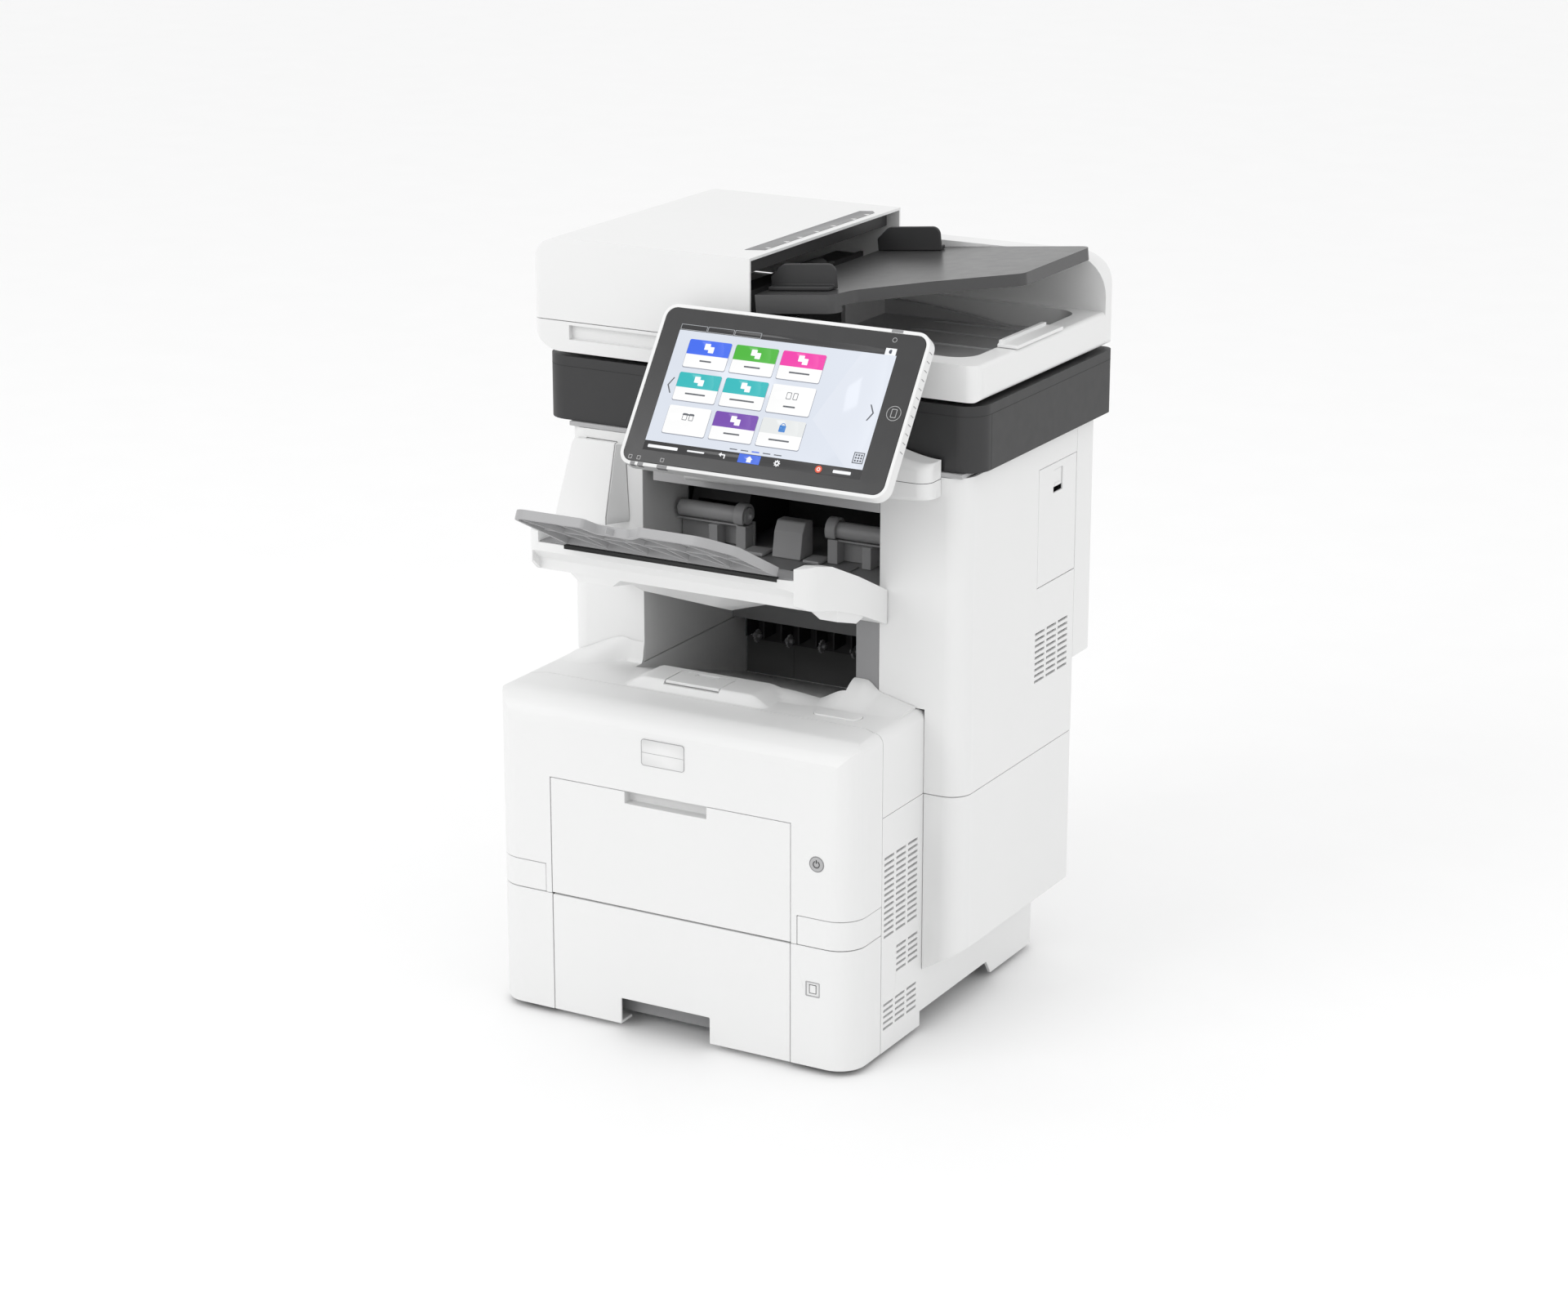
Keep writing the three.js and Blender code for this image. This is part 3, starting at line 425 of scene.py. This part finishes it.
def bracket():
    """The arm across the tower's mouth that carries the panel, with its two hinge lugs."""
    front, back, x0, x1, round_end, foot = 113.6, 141.6, -48, 215, 13, 5
    stations = [x0, x0 + 1, x0 + 3, x0 + 8] + spread(0, 150, 10) + spread(156, x1 - round_end, 8)
    stations += [x1 - round_end + round_end * math.sin(a) for a in spread(0.15, math.pi / 2, 9)]

    def section(x):
        over = max(0.0, x - (x1 - round_end))
        face = front + round_end - math.sqrt(max(0.0, round_end ** 2 - over ** 2))
        low = 525 + 3 * ease((x - x0) / 110) + 7 * ease((x - 62) / 114) + 2 * ease((x - 176) / 39)
        high = 587 - 15 * ease((x - 130) / 85)
        radius = min(9.0, back - face - 0.5)
        crown = [(face + radius * (1 - math.cos(a)), high - radius * (1 - math.sin(a)))
                 for a in spread(0, math.pi / 2, 8)]
        heel = [(face + foot * (1 - math.sin(a)) * min(1, radius / foot), low + foot - foot * math.cos(a))
                for a in spread(0, math.pi / 2, 5)]
        line = [(back, low)] + heel + [(face, low + 16), (face, 554)] + crown + [(back, high)]
        return [(x, y, z) for y, z in line]

    rows = [section(x) for x in stations]
    count = len(rows[0])
    verts = [p for row in rows for p in row]
    faces = []
    for r in range(len(rows) - 1):
        for c in range(count):
            a, b = r * count + c, r * count + (c + 1) % count
            faces.append((a, b, b + count, a + count))
    faces += [tuple(range(count)), tuple(range((len(rows) - 1) * count, len(rows) * count))]
    lugs = []
    for x in (58, 152):
        lugs += [block(x, x + 10, 90, 132, 576, 598), rod("x", (x + 5, 90, 590), 9, 10)]
    body = make("panel_bracket_form", [(verts, faces), *lugs], WHITE, "base")
    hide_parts("panel_bracket")
    seam = [block(x0 + 2, x1 - round_end, front - 0.12, front + 1, 553.6, 554.1)]
    ends = [(x, section(x)[7][1]) for x in stations if x >= x1 - round_end - 0.01]
    outer = [(x1 - round_end, front - 0.12)] + [(x + 0.12, y) for x, y in ends] + [(x1 + 0.12, back)]
    inner = [(x1 - round_end, front + 0.8)] + [(x - 0.8, y + 0.4) for x, y in ends] + [(x1 - 0.8, back)]
    seam.append(prism("z", outer + inner[::-1], 553.6, 554.1))
    make("bracket_seam", seam, DARK, "base")


bracket()

# ---- the display ----
LIGHT = {"u0": -44, "u1": 187.4, "v0": 22.3, "v1": 135.9}  # light area of the home screen
BAR_TOP = 142.4
BAR_BOTTOM = 12.7


def share(a, b):
    """A place on the light area, from its left edge and down from its top edge, as shares of its size."""
    u = LIGHT["u0"] + a * (LIGHT["u1"] - LIGHT["u0"])
    return u, LIGHT["v1"] - b * (LIGHT["v1"] - LIGHT["v0"])


def patch(points, level, thick=0.04):
    return prism("z", points, level, level + thick)


def lit_piece(name, parts, color, strength=1.0):
    tone = lit("lit_" + name, color, strength)
    return make(name, parts, tone, "panel", place=on_panel)


TILE = {"a": 0.0625, "b": 0.0695, "pitch_a": 0.2185, "pitch_b": 0.298, "width": 0.197, "height": 0.249}
TILE_COLORS = {
    "tile_blue": ((0.03, 0.13, 0.86), [(0, 0)]),
    "tile_green": ((0.05, 0.46, 0.02), [(0, 1)]),
    "tile_pink": ((0.88, 0.03, 0.40), [(0, 2)]),
    "tile_teal": ((0.01, 0.48, 0.50), [(1, 0), (1, 1)]),
    "tile_violet": ((0.17, 0.05, 0.42), [(2, 1)]),
    "tile_pale": ((0.78, 0.80, 0.80), [(2, 2)]),
}


def tile_box(row, column):
    u, v = share(TILE["a"] + column * TILE["pitch_a"], TILE["b"] + row * TILE["pitch_b"])
    width = TILE["width"] * (LIGHT["u1"] - LIGHT["u0"])
    height = TILE["height"] * (LIGHT["v1"] - LIGHT["v0"])
    return u, u + width, v - height, v


def tile_header(row, column):
    u0, u1, v0, v1 = tile_box(row, column)
    middle = v1 - 0.53 * (v1 - v0)
    return outline([[u0, middle], [u1, middle], [u1, v1, 1.6], [u0, v1, 1.6]])


def sheet_icon(row, column):
    """Two overlapping sheets, in white, in a tile's coloured head."""
    u0, u1, v0, v1 = tile_box(row, column)
    u = (u0 + u1) / 2
    v = v1 - 0.27 * (v1 - v0)
    return [
        patch(rect(u - 5.2, u + 0.8, v - 1.6, v + 4.6, 0.5), 0.16),
        patch(rect(u - 0.4, u + 5.4, v - 4.4, v + 1.8, 0.5), 0.2),
    ]


def chevron(a, b, sign):
    u, v = share(a, b)
    points = [(-2, 0), (2.6, 8), (4, 8), (-0.4, 0), (4, -8), (2.6, -8)]
    return patch([(u + sign * du, v + dv) for du, dv in points], 0.1)


def screen():
    u0, u1, v0, v1 = LIGHT["u0"], LIGHT["u1"], LIGHT["v0"], LIGHT["v1"]
    lit_piece("screen_field", [patch(rect(u0, u1, v0, v1), 0.02)], (0.70, 0.745, 0.83))
    facet = [share(a, b) for a, b in ((0.847, 0), (0.718, 0.629), (0.921, 1), (1, 1), (1, 0))]
    lit_piece("screen_facet", [patch(facet, 0.04)], (0.75, 0.79, 0.87))
    bars = [patch(rect(u0, u1, v1, BAR_TOP), 0.02), patch(rect(u0, u1, BAR_BOTTOM, v0), 0.02)]
    lit_piece("screen_bars", bars, (0.045, 0.045, 0.05), 0.35)

    every = [(row, column) for row in range(3) for column in range(3)]
    boxes = [tile_box(*spot) for spot in every]
    shadows = [patch(rect(a - 0.3, b + 0.5, c - 0.9, d - 0.3, 2), 0.06) for a, b, c, d in boxes]
    lit_piece("tile_shadows", shadows, (0.26, 0.28, 0.34))
    lit_piece("tile_faces", [patch(rect(*box, 1.8), 0.1) for box in boxes], (0.95, 0.95, 0.95))
    for name, (color, spots) in TILE_COLORS.items():
        lit_piece(name, [patch(tile_header(*spot), 0.13) for spot in spots], color)
    captions = []
    for row, column in every:
        a, b, c, d = tile_box(row, column)
        middle = (a + b) / 2
        half = (b - a) * (0.14 + 0.05 * ((row * 2 + column) % 4))
        height = c + (0.72 if (row, column) == (2, 0) else 0.26) * (d - c)
        captions.append(patch(rect(middle - half, middle + half, height - 0.8, height + 0.8, 0.7), 0.14))
    lit_piece("tile_captions", captions, (0.10, 0.11, 0.13), 0.9)
    headed = [(0, 0), (0, 1), (0, 2), (1, 0), (1, 1), (2, 1)]
    lit_piece("tile_icons", [part for spot in headed for part in sheet_icon(*spot)], (0.97, 0.98, 1.0))
    plain = []
    for row, column in ((1, 2), (2, 0)):
        a, b, c, d = tile_box(row, column)
        u, v = (a + b) / 2, d - 0.36 * (d - c)
        for left, right in ((u - 6, u - 0.8), (u + 1.2, u + 6)):
            plain.append(frame_line("z", (left, right, v - 3.5, v + 3.5), 0.8, 0.6, 0.4, 0.16, 0.2))
    lit_piece("plain_icons", plain, (0.10, 0.11, 0.13))
    a, b, c, d = tile_box(2, 2)
    u, v = (a + b) / 2, d - 0.3 * (d - c)
    handle = ring("z", circle(u, v + 2.6, 2.4), circle(u, v + 2.6, 1.7), 0.18, 0.22)
    bag = patch(rect(u - 3.4, u + 3.4, v - 4, v + 2.6, 0.6), 0.18)
    lit_piece("bag_icon", [bag, handle], (0.04, 0.22, 0.62))

    marks = [chevron(0.03, 0.495, 1), chevron(0.968, 0.51, -1)]
    for k in (0, 1, 3, 4):
        u, v = share(0.41 + 0.051 * k, 0.976)
        marks.append(patch(rect(u - 4, u + 4, v - 0.5, v + 0.5), 0.1))
    u, v = share(0.968, 0.905)
    marks.append(frame_line("z", (u - 5.5, u + 5.5, v - 5.5, v + 5.5), 0, 0.9, 0, 0.1, 0.14))
    grid = (-2.8, 0, 2.8)
    spots = [(u + i, v + j) for i in grid for j in grid]
    marks += [patch(rect(a - 0.9, a + 0.9, b - 0.9, b + 0.9), 0.1) for a, b in spots]
    lit_piece("screen_marks", marks, (0.10, 0.11, 0.13), 0.9)

    home_u, bar_v = share(0.493, 1.045)
    bar_low = BAR_BOTTOM + 0.4
    u, v = share(0.512, 0.976)
    blue = [patch(rect(home_u - 11.5, home_u + 11.5, bar_low, v0 - 0.5), 0.07)]
    blue.append(patch(rect(u - 4, u + 4, v - 0.6, v + 0.6), 0.12))
    lit_piece("home_key", blue, (0.05, 0.15, 0.78))

    v = bar_v
    pale = [
        patch([(home_u - 3.6, v), (home_u, v + 3.2), (home_u + 3.6, v)][::-1], 0.12),
        patch(rect(home_u - 2.4, home_u + 2.4, v - 3, v), 0.12),
    ]
    u = share(0.368, 0)[0]
    pale.append(patch([(u - 4, v + 1), (u - 1, v + 3.2), (u - 1, v - 1.2)][::-1], 0.12))
    pale.append(patch(rect(u - 1, u + 3, v + 0.4, v + 1.6), 0.12))
    pale.append(patch(rect(u + 2, u + 3.2, v - 2.6, v + 1.2), 0.12))
    u = share(0.621, 0)[0]
    pale.append(ring("z", circle(u, v, 2.3), circle(u, v, 1.1), 0.12, 0.16))
    for k in range(8):
        angle = k * math.pi / 4
        tooth = (u + 2.7 * math.cos(angle), v + 2.7 * math.sin(angle))
        pale.append(patch(circle(*tooth, 0.8, 4, angle + math.pi / 4), 0.12))
    for low, high, half in ((0.02, 0.16, 1.5), (0.205, 0.285, 0.8), (0.875, 0.955, 1.5)):
        left, right = share(low, 0)[0], share(high, 0)[0]
        pale.append(patch(rect(left, right, v - half, v + half, 0.7), 0.12))
    moon = share(0.97, -0.03)
    pale.append(patch(rect(moon[0] - 5.6, moon[0] + 5.6, moon[1] - 3.4, moon[1] + 3.4), 0.1))
    lit_piece("bar_marks", pale, (0.92, 0.93, 0.95))
    turns = [0.9 + 0.32 * k for k in range(15)]
    crescent = [(moon[0] + 1.9 * math.cos(a), moon[1] + 2.1 * math.sin(a)) for a in turns]
    lit_piece("moon_mark", [patch(crescent, 0.16)], (0.05, 0.06, 0.09))
    tabs = []
    for k in range(3):
        left, right = share(0.127 * k, 0)[0] + 0.3, share(0.127 * (k + 1), 0)[0] - 0.5
        tabs.append(frame_line("z", (left, right, v1 + 0.5, BAR_TOP - 0.3), 0.5, 0.5, 0.3, 0.08, 0.12))
    lit_piece("screen_tabs", tabs, (0.6, 0.62, 0.65), 0.7)
    u = share(0.81, 0)[0]
    lit_piece("stop_mark", [patch(circle(u, v, 3.5), 0.1)], (0.82, 0.10, 0.04))
    centre = ring("z", circle(u, v, 1.9), circle(u, v, 1.1), 0.16, 0.2)
    lit_piece("stop_mark_inner", [centre], (0.95, 0.9, 0.88))


def panel_marks():
    """Printed marks on the lens, and the lenses and slots in the housing's rim."""
    u, v = share(1.062, 0.49)
    printed = [
        ring("z", circle(u, v, 7.4), circle(u, v, 6.8), 0.02, 0.06),
        frame_line("z", (u - 2.9, u + 2.9, v - 4.4, v + 4.4), 1, 0.7, 0.6, 0.02, 0.06),
    ]
    u, v = share(0.972, -0.135)
    printed.append(ring("z", circle(u, v, 2.4, 20), circle(u, v, 1.9, 20), 0.02, 0.06))
    for a, b in ((-0.045, 1.16), (-0.005, 1.16), (0.105, 1.155)):
        u, v = share(a, b)
        printed.append(frame_line("z", (u - 2, u + 2, v - 2, v + 2), 0.6, 0.6, 0.3, 0.02, 0.06))
    make("lens_prints", printed, LIGHT_GREY, "panel", place=on_panel)
    x0, x1, length = PANEL["x0"], PANEL["x1"], PANEL["length"]
    lenses = [block(x0 + a, x0 + b, -3.7, -0.3, -4.5, 0.12) for a, b in ((11, 16), (19, 25), (40, 51))]
    lenses.append(block(x1 - 39, x1 - 27, length + 0.3, length + 3.7, -4.5, 0.12))
    make("indicator_lenses", lenses, GREY, "panel", edge=0.2, place=on_panel)
    pitch = 9
    right = [length - 14 - pitch * k for k in range(12)]
    left = [length - 60 - pitch * k for k in range(5)]
    slots = [block(x1 + 3.3, x1 + 3.62, low, low + 0.8, -9, -3) for low in right]
    slots += [block(x0 - 3.62, x0 - 3.3, low, low + 0.8, -9, -3) for low in left]
    make("housing_slots", slots, GREY, "panel", place=on_panel)


screen()
panel_marks()


# ---- finisher ----
def arc(axis_y, axis_z, radius, start, stop, steps=14):
    turns = [math.radians(start + (stop - start) * k / steps) for k in range(steps + 1)]
    return [(axis_y + radius * math.cos(a), axis_z + radius * math.sin(a)) for a in turns]


def roller_hook(x0, x1):
    """A hook that reaches over the roller from behind."""
    y, z = ROLLER["y"], ROLLER["z"]
    outer = arc(y, z, 12.5, -20, 215)
    inner = arc(y, z, 9.3, 215, -20)
    return [prism("x", outer + inner, x0, x1), block(x0, x1, y - 6, y + 11, OPENING["sill"] + 0.4, z - 9.4)]


def finisher_inside():
    x0, x1, sill, head = OPENING["x0"] + 0.8, OPENING["x1"] - 0.8, OPENING["sill"], OPENING["head"]
    dark = [block(x0, x1, 311.5, 314, sill + 0.3, 526), block(x1 - 1.6, x1 - 0.2, 216, 311, sill + 0.3, 526)]
    dark.append(block(x0, x0 + 1, 228, 311, sill + 0.3, 526))
    dark.append(block(x0 + 1, x1 - 2, 196, 311, head + 17, head + 19))
    make("finisher_dark_walls", dark, BLACK_AND_PAINTED_SHADE, "base")
    y = ROLLER["y"]
    mounts = []
    for low, high in ((-110.5, -28), (62, 149)):
        mounts.append(block(low, high, y + 9, y + 13, sill + 0.4, 462))
        mounts.append(block(low, high, y - 3, y + 13, 458.6, 460.6))
    for low, high in ((-70, -60), (102, 112)):
        mounts.append(block(low, high, y - 8, y + 9, sill + 0.4, 458.6))
    mounts += roller_hook(-40, -29) + roller_hook(63, 74)
    make("roller_mounts", mounts, GREY_WALL, "base", edge=0.7)
    side = outline([
        [y - 12, sill + 0.4], [y + 14, sill + 0.4], [y + 14, 472, 3], [y - 1, 472, 4], [y - 7, 462, 4],
    ])
    finger = prism("x", side, 4, 36)
    lips = [block(a, b, y - 18, y + 4, sill + 0.4, sill + 4) for a, b in ((-26, -3), (42, 60))]
    make("sheet_fingers", [finger, *lips], GREY_WALL, "base", edge=1.0)
    ridges = [block(x, x + 1.4, 150, 200, sill, sill + 1.2) for x in (-84, -20, 44, 96)]
    make("deck_ridges", ridges, GREY, "base", edge=0.3)


def jamb():
    """The splayed cheek between the staple cover and the finisher's mouth, following the cover's slope."""
    low = [(-140.8, 119.6, 466.4), (-127, 141.8, 466.4), (-140.8, 141.8, 466.4)]
    knee = [(-140.8, 119.6, 474), (-127, 141.8, 474), (-140.8, 141.8, 474)]
    high = [(-140.8, 138, 544.6), (-131, 141.8, 544.6), (-140.8, 141.8, 544.6)]
    faces = [(2, 1, 0), (6, 7, 8)]
    for a in (0, 3):
        faces += [(a + i, a + (i + 1) % 3, a + 3 + (i + 1) % 3, a + 3 + i) for i in range(3)]
    make("splayed_jamb", [(low + knee + high, faces)], WHITE, "base", edge=1.2)


TRAY = {"x0": -138, "x1": 160}
BED = [(141.5, 428), (83, 456), (32, 477), (0, 485), (-21, 486)]


def smooth_curve(points, steps=6):
    """A Catmull-Rom curve through the points."""
    padded = [points[0], *points, points[-1]]
    out = []
    for i in range(1, len(padded) - 2):
        p0, p1, p2, p3 = [Vector(p) for p in padded[i - 1:i + 3]]
        for k in range(steps):
            t = k / steps
            square = (2 * p0 - 5 * p1 + 4 * p2 - p3) * t * t
            cube = (3 * p1 - p0 - 3 * p2 + p3) * t ** 3
            q = 0.5 * (2 * p1 + (p2 - p0) * t + square + cube)
            out.append((q.x, q.y))
    out.append(points[-1])
    return out


def tray_bed():
    curve = smooth_curve(BED)
    bed = [(y, z + 0.2) for y, z in curve] + [(y, z + 1.2) for y, z in reversed(curve)]
    parts = [prism("x", bed, TRAY["x0"] + 12.3, TRAY["x1"] - 12.3)]
    for x in (-90, -30, 30, 90):
        ridge = [(y, z + 1) for y, z in curve[3:-2]] + [(y, z + 2.1) for y, z in reversed(curve[3:-2])]
        parts.append(prism("x", ridge, x, x + 1.6))
    make("tray_bed", parts, GREY, "base", edge=0.3)
    # Painted shadow: black strips on the lip's front and top stand for the shade under the flap's front edge.
    lip_painted_shadow = [block(FLAP["x0"] - 1, FLAP["x1"] + 1, -24.4, -24.05, 483.6, 487.3)]
    lip_painted_shadow.append(block(FLAP["x0"] - 1, FLAP["x1"] + 1, -24.2, -19, 486.7, 487.3))
    make("tray_lip_painted_shadow", lip_painted_shadow, BLACK_AND_PAINTED_SHADE, "base")


def tray_extension():
    x0, x1, length, half = FLAP["x0"], FLAP["x1"], FLAP["length"], FLAP["thick"] / 2
    notch = 22 - length

    def edge_line(inset):
        return outline([
            [x0 + inset, -inset / 2], [x0 + inset, -length + inset, 16 - inset / 2],
            [-17 - inset, -length + inset, 4], [-12 - inset, notch + inset, 6],
            [20 + inset, notch + inset, 8], [42 + inset, -length + inset, 8], [x1 - 26, -length + inset, 24],
            [x1 - inset, -length + 26, 16], [x1 - inset, -inset / 2],
        ])

    parts = [ring("z", edge_line(0), edge_line(3), -half, half)]
    parts.append(prism("z", edge_line(2), half - 2.4, half - 0.2))
    for k in range(5):
        x = x0 + 8 + 44 * k
        parts.append(rib([(x, notch - 8), (x + 40, -5)], 0.8 - half, half - 2.2))
        parts.append(rib([(x + 40, -5), (x + 42, -52)], 1.6 - half, half - 2.2))
    parts.append(rib([(x0 + 6, -52), (x1 - 6, -52)], 2 - half, half - 2.2))
    piece = make("tray_extension_form", parts, FLAP_GREY, "tray_extension", 0.6, on_flap)
    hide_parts("tray_extension")


def rib(run, low, high, thick=1.5):
    a, b = Vector(run[0]), Vector(run[1])
    side = (b - a).orthogonal().normalized() * (thick / 2)
    return prism("z", [tuple(a - side), tuple(b - side), tuple(b + side), tuple(a + side)], low, high)


finisher_inside()
jamb()
tray_bed()
tray_extension()


# ---- output well of the base ----
def well():
    x0, x1, back = WELL["x0"], WELL["x1"], WELL["y1"]
    comb = [block(x0 + 8, x1 - 1, back - 3, back - 0.6, 296, 346)]
    for k in range(11):
        x = x0 + 14 + 20.5 * k
        comb.append(block(x, x + 1.8, back - 27, back - 3, 306, 345))
    comb.append(block(x0 + 8, x1 - 1, back - 27, back - 24.5, 333, 346))
    comb.append(block(x0 + 1, x1 - 1, back - 28, back - 1, 346, 349))
    make("exit_comb", comb, DARK, "base", edge=0.3)
    # The back plates are darkened as painted shade for the dark inside the well.
    shade_plates = [block(x0 + 0.4, x1 - 0.4, back - 0.9, back - 0.3, WELL["floor"] + 1, 299)]
    shade_plates.append(block(x0 + 56, x0 + 57, back - 1.2, back - 0.9, WELL["floor"] + 2, 296))
    make("well_backing_painted_shade", shade_plates, WELL_PAINTED_SHADE, "base")
    wheels = []
    for k in range(6):
        x = x0 + 24 + 38 * k
        star = []
        for j in range(24):
            radius = 7.2 if j % 2 else 5.6
            turn = j * math.pi / 12
            star.append((back - 20 + radius * math.cos(turn), 306 + radius * math.sin(turn)))
        wheels.append(prism("x", star, x - 1, x + 1))
        wheels.append(rod("x", (x, back - 20, 306), 2.4, 9, 12))
    make("star_wheels", wheels, GREY, "base", edge=0.15)


well()


# ---- document feeder ----
def feeder():
    top = FEEDER_TOP
    strip = outline([[-19, 182], [-1, 190], [-1, 412], [-7, 420], [-19, 414]])
    lens = prism("z", strip, top + 0.02, top + 0.3)
    make("indicator_strip", [lens], GREY, "feeder_cover")
    ticks = []
    for y in (200, 236, 262, 296, 330, 372, 400):
        ticks.append(prism("z", [(-1.2, y - 3), (-1.2, y + 3), (-7, y)], top + 0.3, top + 0.36))
    make("size_ticks", ticks, WHITE, "feeder_cover")
    wall = [block(-8, -5, 152, 446, 722, top - 3.2), block(-60, -5, 152, 446, top - 6, top - 3)]
    make("throat_wall", wall, CHARCOAL, "feeder_cover", edge=0.3)
    gate = [block(-34, -30, 153, 443, 652, 694), block(-30, 5, 153, 168, 652, 686)]
    gate.append(block(-60, -34, 156, 440, 688, 692))
    make("feed_gate", gate, DARK, "platen", edge=0.4)


def output_bed():
    plan = outline([[10.4, 172.4, 10], [226.6, 172.4, 24], [226.6, 415.6, 24], [10.4, 415.6, 10]])
    parts = [prism("z", plan, 641.1, 641.7)]
    parts.append(prism("y", [(11, 641.5), (60, 641.5), (24, 652), (11, 656)], 180, 236))
    parts.append(block(11, 16, 320, 408, 641.5, 672))
    parts.append(prism("y", [(16, 641.5), (160, 641.5), (120, 648), (60, 655), (16, 657)], 404, 410))
    for y in (205, 250, 300, 350, 390):
        parts.append(prism("y", [(70, 641.5), (200, 641.5), (185, 643.6), (90, 643.6)], y, y + 1.6))
    # The bed's grey is lightened as painted light, making up for the shade under the input tray.
    make("output_bed", parts, BED_GREY_PAINTED_LIGHT, "platen", edge=0.5)
    # Painted shade: a black sheet stands for the dark of the delivery slot.
    make("delivery_slot_painted_shade", [block(10.4, 11.4, 236, 320, 641.5, 690)], BLACK_AND_PAINTED_SHADE, "platen")


def scanner_seams():
    x0, x1, y0, y1, z1 = SCANNER["x0"], SCANNER["x1"], SCANNER["y0"], SCANNER["y1"], SCANNER["z1"]

    def around(grow):
        c = SCANNER["corner"] + grow
        left, right, front, back = x0 - grow, x1 + grow, y0 - grow, y1 + grow
        return outline([[left, front, c], [right, front, c], [right, back, 12], [left, back, 12]])

    seams = [ring("z", around(0.06), around(-0.6), z1 - 10.2, z1 - 9.6)]
    seams.append(block(x1 - 0.6, x1 + 0.06, 171.6, 172.2, SCANNER["z0"] + 1, z1 - 10))
    seams.append(block(x0 - 0.06, x0 + 0.6, 171.6, 172.2, SCANNER["z0"] + 1, z1 - 10))
    make("scanner_seams", seams, BLACK_AND_PAINTED_SHADE, "base")


feeder()
output_bed()
scanner_seams()


# ---- base details ----
def badge():
    """A blank nameplate in two fields."""
    u0, u1, v0, v1, middle = -29.4, 18.3, 273, 299.5, 286
    field = rect(u0 + 0.5, u1 - 0.5, v0 + 0.5, v1 - 0.5, 2.6)
    frame_ring = ring("y", rect(u0, u1, v0, v1, 3), field, -0.5, 0.6)
    line = block(u0 + 0.5, u1 - 0.5, -0.3, 0.4, middle - 0.25, middle + 0.25)
    make("badge_outline", [frame_ring, line], GREY_WALL, "front_cover")
    make("badge_plate", [prism("y", field, -0.25, 0.5)], WHITE, "front_cover")


def power_mark():
    x, z = 162, 207
    rim = ring("y", circle(x, z, 7.8, 40), circle(x, z, 7.25, 40), -0.35, 0.6)
    make("power_ring", [rim], GREY, "front_cover")
    gap = arc(x, z, 3.6, 118, 422, 24)
    back = list(reversed(arc(x, z, 2.9, 118, 422, 24)))
    mark = [prism("y", gap + back, -1.1, -0.6), block(x - 0.4, x + 0.4, -1.1, -0.6, z + 1, z + 4.4)]
    make("power_mark", mark, DARK, "power_button")


def size_window():
    u0, u1, v0, v1 = 150.8, 165, 73, 87
    frame_ring = frame_line("y", (u0 - 0.6, u1 + 0.6, v0 - 0.6, v1 + 0.6), 1.2, 1, 0.6, -0.2, 1.2)
    make("size_window_frame", [frame_ring], GREY_WALL, "base")
    card = block(u0 + 0.3, u1 - 0.3, 0.5, 1.2, v0 + 0.3, v1 - 0.3)
    make("size_window_card", [card], WHITE, "base")
    sheet_mark = frame_line("y", (154, 161.6, 75.5, 84.5), 0.4, 0.5, 0.2, 0.3, 0.55)
    make("size_mark", [sheet_mark], DARK, "base")


def louvre_screens():
    screens = [block(195.2, 196, 62, 137, 14, 204), block(236.2, 237, 296, 380, 309, 372)]
    screens.append(block(-196, -195.2, 246, 326, 56, 92))
    make("louvre_screens", screens, LIGHT_GREY, "base")


badge()
power_mark()
size_window()
louvre_screens()


# ---- stage ----
WORLD_LIGHT = 1.0
SOFT_LIGHTS = [
    ("key", (-1.6, -3.2, 2.6), 2.2, 34),
    ("side", (3.4, -0.6, 1.8), 2.4, 7),
    ("top", (0, 0.2, 3.4), 2.8, 3),
]


def make_stage():
    data = bpy.data.meshes.new("floor")
    half = 30
    corners = [(-half, -half, 0), (half, -half, 0), (half, half, 0), (-half, half, 0)]
    data.from_pydata(corners, [], [(0, 1, 2, 3)])
    floor = bpy.data.objects.new("floor", data)
    floor.data.materials.append(moulded("pale_floor", (0.93, 0.93, 0.93), 0.6, grain=0.02))
    bpy.context.scene.collection.objects.link(floor)

    world = bpy.data.worlds.new("studio")
    world.use_nodes = True
    background = world.node_tree.nodes["Background"]
    background.inputs["Color"].default_value = (1, 1, 1, 1)
    background.inputs["Strength"].default_value = WORLD_LIGHT
    bpy.context.scene.world = world
    bpy.context.scene.view_settings.view_transform = "Standard"
    for name, place, size, power in SOFT_LIGHTS:
        light = bpy.data.lights.new(name, "AREA")
        light.shape = "SQUARE"
        light.size = size
        light.energy = power
        lamp = bpy.data.objects.new(name, light)
        lamp.location = place
        aim = Vector((0, 0, 0.4)) - Vector(place)
        lamp.rotation_euler = aim.to_track_quat("-Z", "Y").to_euler()
        bpy.context.scene.collection.objects.link(lamp)


make_camera()
make_stage()
